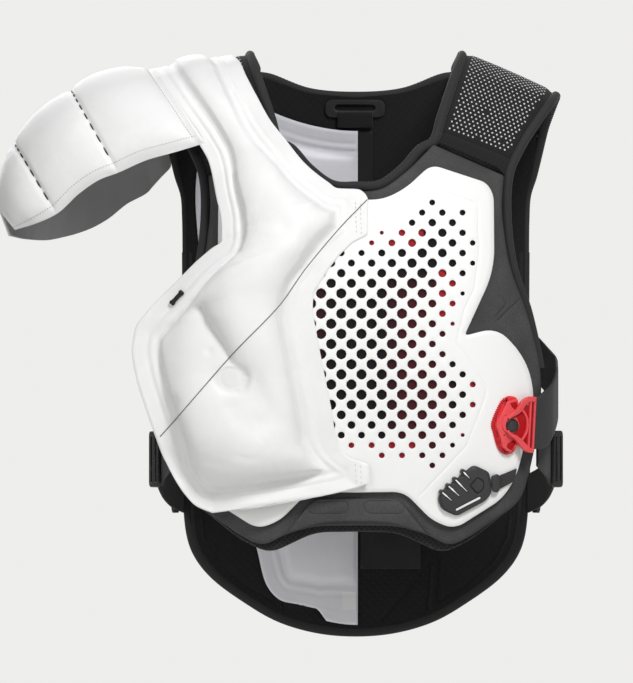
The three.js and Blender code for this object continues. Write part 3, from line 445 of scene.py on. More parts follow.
def away(points, line, closed=False):
    """Distance of each point from a line made of short straight runs."""
    points, line = np.asarray(points, float), np.asarray(line, float)
    start = line if closed else line[:-1]
    run = np.roll(line, -1, axis=0) - line if closed else np.diff(line, axis=0)
    best = np.full(len(points), np.inf)
    for k in range(0, len(start), 48):
        a, d = start[k:k + 48], run[k:k + 48]
        gap = points[:, None] - a
        t = np.clip((gap * d).sum(-1) / np.maximum((d * d).sum(-1), 1e-12), 0, 1)
        best = np.minimum(best, norm(gap - t[..., None] * d, axis=-1).min(1))
    return best


def eased(at, values, wanted):
    """Smooth values between rows, without overshoot."""
    at, values = np.asarray(at, float), np.asarray(values, float)
    flat = values.reshape(len(at), -1)
    step = np.diff(at)[:, None]
    slope = np.diff(flat, axis=0) / step
    lead = np.zeros_like(flat)
    lead[0], lead[-1] = slope[0], slope[-1]
    a, b = slope[:-1], slope[1:]
    one, two = 2 * step[1:] + step[:-1], step[1:] + 2 * step[:-1]
    same = a * b > 0
    safe_a, safe_b = np.where(same, a, 1), np.where(same, b, 1)
    lead[1:-1] = np.where(same, (one + two) / (one / safe_a + two / safe_b), 0)
    k = np.clip(np.searchsorted(at, wanted, side="right") - 1, 0, len(at) - 2)
    h = step[k]
    t = (np.asarray(wanted) - at[k])[:, None] / h
    out = (flat[k] * (2 * t ** 3 - 3 * t ** 2 + 1) + flat[k + 1] * (3 * t ** 2 - 2 * t ** 3)
           + h * lead[k] * (t ** 3 - 2 * t ** 2 + t) + h * lead[k + 1] * (t ** 3 - t ** 2))
    return out.reshape((len(out),) + values.shape[1:])


def curve_through(points, step, closed=False):
    """Even curve through points, with the spacing of the points in mind at each bend."""
    points = np.asarray(points, float)
    if closed:
        knots = np.vstack([points[-1:], points, points[:2]])
    else:
        knots = np.vstack([2 * points[0] - points[1], points, 2 * points[-1] - points[-2]])
    path = []
    for p0, p1, p2, p3 in zip(knots, knots[1:], knots[2:], knots[3:]):
        ends = ((p0, p1), (p1, p2), (p2, p3))
        t0 = 0.0
        t1, t2, t3 = np.cumsum([max(norm(b - a), 1e-6) ** 0.5 for a, b in ends])
        t = np.linspace(t1, t2, 24, endpoint=False)[:, None]

        def between(a, b, start, end):
            return (end - t) / (end - start) * a + (t - start) / (end - start) * b

        a1, a2, a3 = between(p0, p1, t0, t1), between(p1, p2, t1, t2), between(p2, p3, t2, t3)
        b1, b2 = between(a1, a2, t0, t2), between(a2, a3, t1, t3)
        path.append(between(b1, b2, t1, t2))
    path = np.vstack(path if closed else path + [points[-1:]])
    return spaced(path, step, closed)


def ripples(points, length, seed):
    """Soft uneven swell of about unit height, the same each time."""
    waves = 9
    chance = np.random.default_rng(seed)
    total = np.zeros(points.shape[:-1])
    for _ in range(waves):
        lead = chance.normal(size=3)
        lead *= 2 * np.pi / (length * chance.uniform(0.7, 1.5) * norm(lead))
        total += np.sin(points @ lead + chance.uniform(0, 6.28))
    return total / waves ** 0.5


class Skin:
    """The body wall that the layers lie on: rounded in the middle, straight towards the sides."""

    def __init__(self, sections, side):
        self.rows, self.side = np.array(sections, float), side

    def column(self, k, z):
        level, value = self.rows[:, 0], self.rows[:, k]
        i = np.clip(np.searchsorted(-level, -z, side="right") - 1, 0, len(level) - 2)
        each = np.arange(len(level))
        before, after = np.maximum(each - 1, 0), np.minimum(each + 1, len(level) - 1)
        slope = (value[after] - value[before]) / (level[after] - level[before])
        span = level[i + 1] - level[i]
        t = np.clip((z - level[i]) / span, 0, 1)
        h = t * t * (3 - 2 * t)
        return (value[i] * (1 - h) + value[i + 1] * h
                + span * t * (1 - t) * ((1 - t) * slope[i] - t * slope[i + 1]))

    def point(self, x, z):
        ratio = np.abs(x) / self.column(2, z)
        power, straight = 2.4, 0.78
        edge = (1 - straight ** power) ** (1 / power)
        slope = -(straight ** (power - 1)) * edge ** (1 - power)
        bent = (1 - np.minimum(ratio, straight) ** power) ** (1 / power)
        depth = np.where(ratio <= straight, bent, edge + slope * (ratio - straight))
        return np.stack([x, self.side * self.column(1, z) * depth, z], axis=-1)

    def normal(self, x, z):
        across = self.point(x + 1, z) - self.point(x - 1, z)
        n = unit(np.cross(across, self.point(x, z + 1) - self.point(x, z - 1)))
        return np.where(n[..., 1:2] * self.side < 0, -n, n)

    def at(self, x, z, offset):
        return self.point(x, z) + self.normal(x, z) * np.asarray(offset)[..., None]

    def foot(self, x, z, offset):
        """Where on the wall the point at that offset stands which appears at x and z from the front."""
        u, v = np.array(x, float), np.array(z, float)
        for _ in range(12):
            reached = self.at(u, v, offset)
            u += 0.8 * (x - reached[..., 0])
            v += 0.8 * (z - reached[..., 2])
        return u, v

    def over(self, x, z, offset):
        """The point at that offset which appears at x and z from the front."""
        offset = np.broadcast_to(np.asarray(offset, float), np.shape(x))
        return self.at(*self.foot(x, z, offset), offset)


FRONT = Skin(FRONT_SECTIONS, -1)
BACK = Skin(BACK_SECTIONS, 1)


# Meshes and pieces

def outward(points, faces):
    """Faces turned so that the closed shape has its outside out."""
    corners = [(face[0], face[k], face[k + 1]) for face in faces for k in range(1, len(face) - 1)]
    a, b, c = np.asarray(points)[np.array(corners)].transpose(1, 0, 2)
    volume = (a * np.cross(b, c)).sum()
    return [tuple(reversed(face)) for face in faces] if volume < 0 else faces


def make_mesh(name, points, faces, uv=None, sharp=38):
    points = np.asarray(points, float)
    mesh = bpy.data.meshes.new(name)
    mesh.from_pydata((points / 1000).tolist(), [], [tuple(map(int, face)) for face in faces])
    if uv is None:
        uv = points[:, [0, 2]] / 1000
    corner = np.zeros(len(mesh.loops), np.int32)
    mesh.loops.foreach_get("vertex_index", corner)
    layer = mesh.uv_layers.new(name="UVMap")
    layer.data.foreach_set("uv", np.asarray(uv, np.float32)[corner].ravel())
    mesh.polygons.foreach_set("use_smooth", np.ones(len(mesh.polygons), bool))
    mesh.set_sharp_from_angle(angle=math.radians(sharp))
    mesh.update()
    return mesh


def corners_of(mesh):
    """Points of a mesh in millimetres."""
    co = np.zeros(len(mesh.vertices) * 3)
    mesh.vertices.foreach_get("co", co)
    return co.reshape(-1, 3) * 1000


def linked(name, data):
    """A new object in the scene."""
    obj = bpy.data.objects.new(name, data)
    bpy.context.scene.collection.objects.link(obj)
    return obj


def piece(name, mesh, looks, node=None, slot=None):
    """A piece on the vest's one body, with its finishes."""
    obj = linked(name, mesh)
    for each in map(finish, looks):
        if each.name not in [m.name for m in mesh.materials if m]:
            mesh.materials.append(each)
    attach(obj, BODY)
    if node:
        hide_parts(node)
    return obj


def inward(outline, probe):
    """Directions from the points of an outline into it."""
    lead = np.roll(outline, -1, axis=0) - np.roll(outline, 1, axis=0)
    side = leftward(lead)
    side /= np.maximum(norm(side, axis=1, keepdims=True), 1e-9)
    return side if inside(outline[:1] + side[:1] * probe, outline)[0] else -side


def fill_outline(outline, rings, rounds, cuts, lines, pitch):
    """Flat triangles inside an outline, in close rows along edges, holes and lines and even elsewhere."""
    points, edges = [], []

    def add_closed(loop):
        first = sum(len(p) for p in points)
        points.append(loop)
        edges.extend((first + i, first + (i + 1) % len(loop)) for i in range(len(loop)))

    add_closed(outline)
    for x, z, radius in rounds:
        add_closed(ring(x, z, radius, max(14, int(radius * 5))))
        for more in (0.45, 1.1):
            points.append(ring(x, z, radius + more, max(12, int(radius * 4))))
    for cut in cuts:
        add_closed(cut)
    side = inward(outline, 0.05)
    for depth in rings:
        inset = outline + side * depth
        points.append(inset[(away(inset, outline, True) > 0.93 * depth) & inside(inset, outline)])
    for line, half in lines:
        line = spaced(line, min(1.6, 1.5 * half))
        cross = leftward(unit(np.gradient(line, axis=0)))
        for share in (-2, -1, -0.5, 0, 0.5, 1, 2):
            beside = line + cross * share * half
            points.append(beside[inside(beside, outline)])
    low, high = outline.min(0), outline.max(0)
    across = np.arange(low[0], high[0], pitch)
    down = np.arange(low[1], high[1], pitch * 0.866)
    grid = np.array([(x + (j % 2) * pitch / 2, z) for j, z in enumerate(down) for x in across])
    grid = grid[inside(grid, outline)]
    grid = grid[away(grid, outline, True) > max(rings, default=0) + 0.45 * pitch]
    for x, z, radius in rounds:
        grid = grid[np.hypot(grid[:, 0] - x, grid[:, 1] - z) > radius + 1.1 + 0.4 * pitch]
    for cut in cuts:
        grid = grid[~inside(grid, cut) & (away(grid, cut, True) > 0.5 * pitch)]
    for line, half in lines:
        grid = grid[away(grid, spaced(line, 1.6)) > 2 * half + 0.4 * pitch]
    points.append(grid)
    every = np.vstack(points)
    found = delaunay_2d_cdt([Vector(p) for p in every], edges, [], 0, 1e-4)
    flat = np.array([tuple(v) for v in found[0]])
    faces = np.array([tuple(face) for face in found[2]])
    middle = flat[faces].mean(1)
    keep = inside(middle, outline)
    for x, z, radius in rounds:
        keep &= np.hypot(middle[:, 0] - x, middle[:, 1] - z) > radius * 0.97
    for cut in cuts:
        keep &= ~inside(middle, cut)
    used, faces = np.unique(faces[keep], return_inverse=True)
    return flat[used], faces.reshape(-1, 3)


def edge_distance(flat, outline, rounds, cuts):
    d = away(flat, outline, True)
    for x, z, radius in rounds:
        d = np.minimum(d, np.abs(np.hypot(flat[:, 0] - x, flat[:, 1] - z) - radius))
    for cut in cuts:
        d = np.minimum(d, away(flat, cut, True))
    return d


def two_sided(flat, faces, upper, lower):
    """Closed shell of an upper and a lower layer over the same flat triangles."""
    count = len(flat)
    ends = np.vstack([faces[:, [0, 1]], faces[:, [1, 2]], faces[:, [2, 0]]])
    order = np.sort(ends, axis=1)
    _, first, times = np.unique(order, axis=0, return_index=True, return_counts=True)
    rim = ends[first[times == 1]]
    all_faces = [tuple(face) for face in faces] + [tuple(face[::-1] + count) for face in faces]
    all_faces += [(b, a, a + count, b + count) for a, b in rim]
    points = np.vstack([upper, lower])
    return points, outward(points, all_faces)


def panel(name, outline, near, far, skin, pitch, ease, rounds=(), cuts=(), lines=(), relief=None,
          near_relief=None, rings=(0.5, 1.2, 2.4)):
    """A layer of the vest cut to an outline, with eased edges, pressed lines and its own relief."""
    grooves = [(line, half) for line, half, depth in lines]
    flat, faces = fill_outline(outline, rings, rounds, cuts, grooves, pitch)
    d = edge_distance(flat, outline, rounds, cuts)
    ease = min(ease, 0.9 * abs(far - near))
    sign = 1 if far > near else -1
    drop = ease - np.sqrt(np.maximum(ease ** 2 - (ease - np.minimum(d, ease)) ** 2, 0))
    for line, half, depth in lines:
        drop = drop + depth * np.exp(-(away(flat, spaced(line, 1.6)) / half) ** 2)
    high = far - sign * drop
    if relief is not None:
        high = high + sign * relief(flat, d)
    low = np.full(len(flat), float(near))
    if near_relief is not None:
        low = low + near_relief(flat, d)
    upper = skin.over(flat[:, 0], flat[:, 1], high)
    lower = skin.over(flat[:, 0], flat[:, 1], low)
    points, all_faces = two_sided(flat, faces, upper, lower)
    return make_mesh(name, points, all_faces, np.vstack([flat, flat]) / 1000)


def slab(name, upper, lower, uv):
    """Closed shell between two grids of points."""
    down, across = upper.shape[:2]
    index = np.arange(down * across).reshape(down, across)
    under = index + down * across

    def quads(a):
        return np.stack([a[:-1, :-1], a[:-1, 1:], a[1:, 1:], a[1:, :-1]], axis=-1).reshape(-1, 4)

    faces = [tuple(q) for q in quads(index)] + [tuple(q[::-1]) for q in quads(under)]
    loop = np.concatenate([index[0, :], index[1:, -1], index[-1, -2::-1], index[-2:0:-1, 0]])
    below = loop + down * across
    faces += [(loop[i - 1], below[i - 1], below[i], loop[i]) for i in range(len(loop))]
    points = np.vstack([upper.reshape(-1, 3), lower.reshape(-1, 3)])
    flat_uv = uv.reshape(-1, 2)
    return make_mesh(name, points, outward(points, faces), np.vstack([flat_uv, flat_uv]))


def grid_normals(grid, middle):
    n = np.cross(np.gradient(grid, axis=0), np.gradient(grid, axis=1))
    n /= np.maximum(norm(n, axis=-1, keepdims=True), 1e-9)
    return np.where(((grid - middle) * n).sum(-1, keepdims=True) < 0, -n, n)


def grid_uv(grid):
    """Distance across and along a grid, in metres."""
    across, along = (norm(np.diff(grid, axis=k), axis=-1) for k in (1, 0))
    across = np.concatenate([np.zeros((len(grid), 1)), across], axis=1)
    along = np.concatenate([np.zeros((1, grid.shape[1])), along])
    return np.stack([across.cumsum(1), along.mean(1).cumsum()[:, None] + 0 * across], axis=-1) / 1000


def grid_away(grid, line, closed=True):
    """Distance of each point of a grid from a line."""
    return away(grid.reshape(-1, 3), line, closed).reshape(grid.shape[:2])


def finer(at, rows, step, columns):
    """A finer grid of rows, with as many rows as its longer edge asks for."""
    wanted = []
    for k in range(len(rows) - 1):
        edge = max(norm(rows[k + 1][side] - rows[k][side]) for side in (0, -1))
        wanted.append(np.linspace(at[k], at[k + 1], max(2, math.ceil(edge / step)), endpoint=False))
    wanted = np.concatenate(wanted + [[at[-1]]])
    grid = eased(at, rows, wanted)
    share = np.linspace(0, 1, rows.shape[1])
    return np.swapaxes(eased(share, np.swapaxes(grid, 0, 1), np.linspace(0, 1, columns)), 0, 1), wanted


def row_places(rows):
    return np.concatenate([[0], np.cumsum(norm(np.diff(rows, axis=0), axis=-1).mean(1) + 0.5)])


def membrane(grid, held, value, pressure=None):
    """Rise of a filled cushion over its grid: free points settle between their neighbours under pressure."""
    pressure = np.ones(held.shape) if pressure is None else pressure
    rise = None
    for skip, rounds in ((4, 900), (2, 500), (1, 260)):
        rows = np.unique(np.append(np.arange(0, grid.shape[0], skip), grid.shape[0] - 1))
        columns = np.unique(np.append(np.arange(0, grid.shape[1], skip), grid.shape[1] - 1))
        g = grid[np.ix_(rows, columns)]
        fixed, level = held[np.ix_(rows, columns)], value[np.ix_(rows, columns)]
        push = pressure[np.ix_(rows, columns)][1:-1, 1:-1]
        across = np.maximum(norm(np.diff(g[1:-1], axis=1), axis=-1), 0.3)
        along = np.maximum(norm(np.diff(g[:, 1:-1], axis=0), axis=-1), 0.3)
        wide, tall = across[:, :-1] + across[:, 1:], along[:-1] + along[1:]
        left, right = (2 / (side * wide) for side in (across[:, :-1], across[:, 1:]))
        above, below = (2 / (side * tall) for side in (along[:-1], along[1:]))
        if rise is None:
            h = np.zeros(g.shape[:2])
        else:
            h = np.array([np.interp(columns, old_columns, line) for line in rise])
            h = np.array([np.interp(rows, old_rows, line) for line in h.T]).T
        h[fixed] = level[fixed]
        for _ in range(rounds):
            around = left * h[1:-1, :-2] + right * h[1:-1, 2:] + above * h[:-2, 1:-1] + below * h[2:, 1:-1]
            h[1:-1, 1:-1] = (around + push) / (left + right + above + below)
            h[fixed] = level[fixed]
        rise, old_rows, old_columns = h, rows, columns
    return rise


def relaxed(values, rounds):
    """The same values with bends between neighbours worn down."""
    values = values.copy()
    for _ in range(rounds):
        across = values[1:-1, 2:] + values[1:-1, :-2]
        values[1:-1, 1:-1] = (across + values[2:, 1:-1] + values[:-2, 1:-1]) / 4
    return values


def weld_profile(d, flange, band):
    """Height of the flat flange and of the beaded weld band inside it, by distance from the edge."""
    bump = lambda at, wide: np.exp(-((d - flange - at * band) / wide) ** 2)
    return 1.5 - 0.5 * bump(0, 1.3) + 0.6 * bump(0.38, 2.3) - 0.5 * bump(0.78, 1.3) + 0.3 * bump(0.97, 1.4)


def tube_faces(rows, around, closed=False):
    """Quads between rows of points, each row a closed ring."""
    faces = []
    for i in range(rows if closed else rows - 1):
        j = (i + 1) % rows
        for k in range(around):
            m = (k + 1) % around
            faces.append((i * around + k, i * around + m, j * around + m, j * around + k))
    return faces


def swept(name, path, ups, section, closed=False):
    """A section drawn along a path; the section's second axis follows the given direction."""
    lead = np.roll(path, -1, axis=0) - np.roll(path, 1, axis=0) if closed else np.gradient(path, axis=0)
    lead = unit(lead)
    ups = unit(ups - (ups * lead).sum(1, keepdims=True) * lead)
    sides = np.cross(lead, ups)
    count, around = len(path), len(section)
    points = (path[:, None] + sides[:, None] * section[None, :, :1] + ups[:, None] * section[None, :, 1:2])
    points = points.reshape(-1, 3)
    faces = tube_faces(count, around, closed)
    if not closed:
        faces += [tuple(range(around)), tuple(range((count - 1) * around, count * around))[::-1]]
        if outward(points, faces[:-2])[0] != faces[0]:
            faces = [tuple(reversed(face)) for face in faces]
    else:
        faces = outward(points, faces)
    along = steps_along(path)
    girth = norm(np.roll(section, -1, axis=0) - section, axis=1).cumsum()
    uv = np.stack([np.tile(girth, count), np.repeat(along, around)], axis=1) / 1000
    return make_mesh(name, points, faces, uv)


def eased_section(half_wide, half_thick, corners, power):
    """Closed section between an ellipse and a rectangle."""
    turn = np.linspace(0, 2 * np.pi, 4 * corners, endpoint=False)
    bend = lambda v: np.sign(v) * np.abs(v) ** (2 / power)
    return np.stack([half_wide * bend(np.cos(turn)), half_thick * bend(np.sin(turn))], axis=1)


def plane_at(place, facing, turn):
    """Maps u, v and height on a tilted plane to the vest's frame."""
    x = unit(np.cross([0, 0, 1], facing))
    y = np.cross(facing, x)
    u_axis = x * math.cos(turn) + y * math.sin(turn)
    v_axis = y * math.cos(turn) - x * math.sin(turn)

    def to_frame(uv, height):
        uv = np.asarray(uv, float)
        height = np.broadcast_to(np.asarray(height, float), uv.shape[:-1])
        return place + uv[..., :1] * u_axis + uv[..., 1:2] * v_axis + height[..., None] * facing

    def seen_at(spots, height):
        """u and v of what appears at x and z from the front, at that height on the plane."""
        spots = np.asarray(spots, float)
        base = place + height * facing
        system = np.array([[u_axis[0], v_axis[0]], [u_axis[2], v_axis[2]]])
        return np.linalg.solve(system, (spots - base[[0, 2]]).T).T

    return to_frame, seen_at


def moulding(name, outline, low, high, ease, to_frame, steps, taper=0.0):
    """A flat moulding with an eased upper edge."""
    outline = np.asarray(outline, float)
    side = inward(outline, 0.02)
    levels = [(0.0, low), (taper, high - ease)]
    for k in range(1, steps + 1):
        turn = k / steps * np.pi / 2
        levels.append((taper + ease * (1 - math.cos(turn)), high - ease + ease * math.sin(turn)))
    count = len(outline)
    points = np.vstack([to_frame(outline + side * inset, height) for inset, height in levels])
    faces = tube_faces(len(levels), count)
    top = (len(levels) - 1) * count
    faces += [tuple(range(count))[::-1], tuple(range(top, top + count))]
    return make_mesh(name, points, outward(points, faces), sharp=32)


def joined(name, meshes, looks):
    """One mesh of several, each with its own finish."""
    points, faces, finish_of = [], [], []
    kinds = list(dict.fromkeys(looks))
    first = 0
    for mesh, look in zip(meshes, looks):
        points.append(corners_of(mesh))
        faces += [tuple(first + v for v in face.vertices) for face in mesh.polygons]
        finish_of += [kinds.index(look)] * len(mesh.polygons)
        first += len(mesh.vertices)
        bpy.data.meshes.remove(mesh)
    whole = make_mesh(name, np.vstack(points), faces)
    whole.polygons.foreach_set("material_index", np.array(finish_of, np.int32))
    for each in kinds:
        whole.materials.append(finish(each))
    return whole


class Mouldings:
    """Mouldings on one plane, each with its finish, that become one piece."""

    def __init__(self, to_frame):
        self.to_frame, self.meshes, self.looks = to_frame, [], []

    def add(self, outline, low, high, ease, look, steps, taper=0.0):
        self.meshes.append(moulding("part", outline, low, high, ease, self.to_frame, steps, taper))
        self.looks.append(look)

    def done(self, name, node, slot):
        piece(name, joined(name, self.meshes, self.looks), [], node, slot)
        self.meshes, self.looks = [], []


def softened(node, name, width, look, slot):
    """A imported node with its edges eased."""
    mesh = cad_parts[node].data.copy()
    mesh.name = name
    mesh.materials.clear()
    obj = linked(name, mesh)
    for kind, settings in (
            ("WELD", {"merge_threshold": 1e-5}),
            ("DECIMATE", {"decimate_type": "DISSOLVE", "angle_limit": math.radians(4)}),
            ("BEVEL", {"width": width / 1000, "segments": 3, "limit_method": "ANGLE",
                       "angle_limit": math.radians(28), "harden_normals": False}),
            ("TRIANGULATE", {})):
        modifier = obj.modifiers.new(kind.lower(), kind)
        for key, value in settings.items():
            setattr(modifier, key, value)
    done = plain_mesh(obj)
    faces = [tuple(face.vertices) for face in done.polygons]
    whole = make_mesh(name, corners_of(done), faces, sharp=40)
    bpy.data.meshes.remove(done)
    return piece(name, whole, [look], node, slot)


def plain_mesh(obj):
    """The evaluated shape of a helper object as a plain mesh; the helper is removed."""
    graph = bpy.context.evaluated_depsgraph_get()
    graph.update()
    mesh = bpy.data.meshes.new_from_object(obj.evaluated_get(graph))
    old = obj.data
    bpy.data.objects.remove(obj)
    if old.users == 0:
        bpy.data.meshes.remove(old)
    return mesh


def surface_of(mesh):
    """Rays against a mesh from the front give the point and the direction it faces, in millimetres."""
    tree = BVHTree.FromPolygons(corners_of(mesh).tolist(), [tuple(face.vertices) for face in mesh.polygons])
    heading = Vector((0, 1, 0))

    def drop(spots, lift):
        points, facing = [], []
        for x, z in spots:
            hit, normal, _, _ = tree.ray_cast(Vector((x, -1000, z)), heading)
            if hit is None:
                continue
            if normal.dot(heading) > 0:
                normal = -normal
            points.append(np.array(hit) + lift * np.array(normal))
            facing.append(np.array(normal))
        return np.array(points), np.array(facing)

    return drop


# What repeats: stitches along lines and dots on surfaces

def put(tree, kind, inputs=None, **settings):
    """Adds a node with its settings, values and links."""
    added = tree.nodes.new(kind)
    for key, value in settings.items():
        setattr(added, key, value)
    for key, value in (inputs or {}).items():
        if isinstance(value, bpy.types.NodeSocket):
            tree.links.new(value, added.inputs[key])
        else:
            added.inputs[key].default_value = value
    return added


def new_tree(name, sockets):
    tree = bpy.data.node_groups.new(name, "GeometryNodeTree")
    tree.interface.new_socket("Geometry", in_out="INPUT", socket_type="NodeSocketGeometry")
    for title, kind in sockets:
        tree.interface.new_socket(title, in_out="INPUT", socket_type=kind)
    tree.interface.new_socket("Geometry", in_out="OUTPUT", socket_type="NodeSocketGeometry")
    return tree


def finish_tree(tree, given, instances):
    real = put(tree, "GeometryNodeRealizeInstances", {"Geometry": instances})
    smooth_faces = put(tree, "GeometryNodeSetShadeSmooth", {0: real.outputs[0]})
    made = put(tree, "GeometryNodeSetMaterial", {
        "Geometry": smooth_faces.outputs[0], "Material": given.outputs["Material"]})
    put(tree, "NodeGroupOutput", {0: made.outputs[0]})
    return tree


def stitch_tree():
    """Thread stitches laid along every line of a mesh."""
    tree = new_tree("stitch_run", [
        ("Pitch", "NodeSocketFloat"), ("Length", "NodeSocketFloat"), ("Thread", "NodeSocketFloat"),
        ("Material", "NodeSocketMaterial")])
    given = put(tree, "NodeGroupInput")
    line = put(tree, "GeometryNodeMeshToCurve", {"Mesh": given.outputs["Geometry"]})
    spots = put(tree, "GeometryNodeCurveToPoints", {
        "Curve": line.outputs[0], "Length": given.outputs["Pitch"]}, mode="LENGTH")
    bead = put(tree, "GeometryNodeMeshUVSphere", {"Segments": 6, "Rings": 4, "Radius": 0.5})
    size = put(tree, "ShaderNodeCombineXYZ", {
        0: given.outputs["Thread"], 1: given.outputs["Thread"], 2: given.outputs["Length"]})
    laid = put(tree, "GeometryNodeInstanceOnPoints", {
        "Points": spots.outputs["Points"], "Instance": bead.outputs["Mesh"],
        "Rotation": spots.outputs["Rotation"], "Scale": size.outputs[0]})
    return finish_tree(tree, given, laid.outputs[0])


def dot_tree():
    """Low round dots on the points of a mesh, each facing as its point says."""
    tree = new_tree("eyelet_field", [
        ("Radius", "NodeSocketFloat"), ("Height", "NodeSocketFloat"), ("Material", "NodeSocketMaterial")])
    given = put(tree, "NodeGroupInput")
    facing = put(tree, "GeometryNodeInputNamedAttribute", {"Name": "facing"}, data_type="FLOAT_VECTOR")
    turn = put(tree, "FunctionNodeAlignRotationToVector", {"Vector": facing.outputs[0]}, axis="Z")
    disc = put(tree, "GeometryNodeMeshCylinder", {
        "Vertices": 8, "Radius": given.outputs["Radius"], "Depth": given.outputs["Height"],
    }, fill_type="NGON")
    laid = put(tree, "GeometryNodeInstanceOnPoints", {
        "Points": given.outputs["Geometry"], "Instance": disc.outputs["Mesh"],
        "Rotation": turn.outputs[0]})
    return finish_tree(tree, given, laid.outputs[0])


TREES = {}


def repeated(kind, name, mesh, values, look):
    """Runs one of the trees over a helper mesh and keeps the result as a piece."""
    if kind not in TREES:
        TREES[kind] = {"stitches": stitch_tree, "dots": dot_tree}[kind]()
    tree = TREES[kind]
    helper = linked(name + "_base", mesh)
    modifier = helper.modifiers.new("repeat", "NODES")
    modifier.node_group = tree
    names = {item.name: item.identifier for item in tree.interface.items_tree if item.in_out == "INPUT"}
    for key, value in values.items():
        modifier[names[key]] = value / 1000
    modifier[names["Material"]] = finish(look)
    made = plain_mesh(helper)
    made.name = name
    return piece(name, made, [look])


def stitched(name, runs, input_pitch=None):
    """Stitches along lines given in millimetres."""
    pitch, length, thread, look = STITCHES[name]
    mesh = bpy.data.meshes.new(name + "_base")
    points, edges = [], []
    for run in runs:
        first = len(points)
        points += (np.asarray(run) / 1000).tolist()
        edges += [(first + i, first + i + 1) for i in range(len(run) - 1)]
    mesh.from_pydata(points, edges, [])
    values = {"Pitch": pitch or input_pitch, "Length": length, "Thread": thread}
    return repeated("stitches", name, mesh, values, look)


def dotted(name, points, facing):
    """Eyelets on points given in millimetres."""
    mesh = bpy.data.meshes.new(name + "_base")
    mesh.from_pydata((np.asarray(points) / 1000).tolist(), [], [])
    layer = mesh.attributes.new("facing", "FLOAT_VECTOR", "POINT")
    layer.data.foreach_set("vector", np.asarray(facing, np.float32).ravel())
    values = {"Radius": EYELET_RADIUS, "Height": EYELET_HEIGHT}
    return repeated("dots", name, mesh, values, "eyelet")


# Finishes

def scaled(colour, share):
    return [min(1, c * share) for c in colour]


class Look:
    """A finish under way: its colour, its shader and the few kinds of node that shape it."""

    def __init__(self, name, colour, rough, pale=0.0, **sockets):
        inputs = bpy.context.scene.vest_colours
        own = tint(colour) if colour.startswith("#") else list(getattr(inputs, colour))
        self.colour = [c + (1 - c) * pale for c in own]
        self.made = bpy.data.materials.new(name)
        self.made.use_nodes = True
        self.tree = self.made.node_tree
        self.shader = self.tree.nodes["Principled BSDF"]
        for key, value in {"Base_Color": [*self.colour, 1], "Roughness": rough, **sockets}.items():
            self.shader.inputs[key.replace("_", " ")].default_value = value

    def place(self, kind="Object"):
        """Coordinates in metres, by default the vest's own."""
        return put(self.tree, "ShaderNodeTexCoord").outputs[kind]

    def cloth_place(self):
        """Coordinates in metres along the cloth."""
        return put(self.tree, "ShaderNodeUVMap", uv_map="UVMap").outputs[0]

    def parts(self, place):
        return put(self.tree, "ShaderNodeSeparateXYZ", {0: place}).outputs

    def noise(self, place, size, detail=2.0, **more):
        """Noise with a grain of that size in millimetres."""
        values = {"Vector": place, "Scale": 1000 / size, "Detail": detail, **more}
        return put(self.tree, "ShaderNodeTexNoise", values).outputs[0]

    def math(self, operation, *values):
        return put(self.tree, "ShaderNodeMath", dict(enumerate(values)), operation=operation).outputs[0]

    def times(self, first, second):
        return self.math("MULTIPLY", first, second)

    def ranged(self, value, low, high, first=0.0, last=1.0):
        """A value between low and high, carried over to first and last."""
        values = {0: value, 1: low, 2: high, 3: first, 4: last}
        return put(self.tree, "ShaderNodeMapRange", values).outputs[0]

    def mixed(self, share, first, second):
        """Two colours mixed by a share; the first may come from a node."""
        first = first if isinstance(first, bpy.types.NodeSocket) else [*first, 1]
        values = {0: share, 6: first, 7: [*second, 1]}
        return put(self.tree, "ShaderNodeMix", values, data_type="RGBA").outputs[2]

    def finished(self, strength, distance, height, **varied):
        """The material, with its relief and with what varies linked to the shader."""
        values = {"Strength": strength, "Distance": distance, "Height": height}
        bump = put(self.tree, "ShaderNodeBump", values)
        for key, value in {"Normal": bump.outputs[0], **varied}.items():
            self.tree.links.new(value, self.shader.inputs[key.replace("_", " ")])
        return self.made


def moulded_plate(name, colour):
    # Moulded polypropylene: even white, satin, with a hardly visible orange peel and faint handling marks
    look = Look(name, colour, 0.4, Specular_IOR_Level=0.45)
    place = look.place()
    cloud = look.noise(place, 70, 3.0)
    base = look.mixed(look.ranged(cloud, 0.4, 0.75, 0.0, 0.35), look.colour, scaled(look.colour, 0.95))
    rough = look.ranged(cloud, 0.3, 0.7, 0.36, 0.48)
    return look.finished(0.25, 0.00015, look.noise(place, 2.2), Base_Color=base, Roughness=rough)


def moulded_foam(name, colour):
    # Moulded EVA foam: matt charcoal with a fine cell grain, lighter on the grain's high points and darker
    # in its pits, in broad patches
    look = Look(name, colour, 0.82, Specular_IOR_Level=0.35)
    place = look.place()
    grain = look.noise(place, 1.4, 3.0, Roughness=0.65)
    share = look.ranged(look.times(grain, look.noise(place, 38)), 0.16, 0.38)
    base = look.mixed(share, scaled(look.colour, 0.8), scaled(look.colour, 1.3))
    return look.finished(0.55, 0.0003, grain, Base_Color=base)


def knitted_mesh(name, colour, spacing, eye, depth):
    # Warp-knitted polyester spacer mesh: matt, with small eyes in staggered rows
    look = Look(name, colour, 0.9, Specular_IOR_Level=0.25, Sheen_Weight=0.15)
    place = look.cloth_place()
    turned = put(look.tree, "ShaderNodeMapping", {
        "Vector": place, "Rotation": (0, 0, math.radians(45)), "Scale": (1000 / spacing,) * 3})
    eyes = put(look.tree, "ShaderNodeTexVoronoi", {
        "Vector": turned.outputs[0], "Scale": 1.0, "Randomness": 0.0}, voronoi_dimensions="2D")
    share = look.ranged(eyes.outputs["Distance"], 0.18, 0.34, 1.0, 0.0)
    fibre = look.noise(place, 0.9)
    base = look.mixed(look.times(look.times(share, fibre), 1.5), look.colour, tint(eye))
    return look.finished(depth, 0.0005, look.math("SUBTRACT", fibre, share), Base_Color=base)


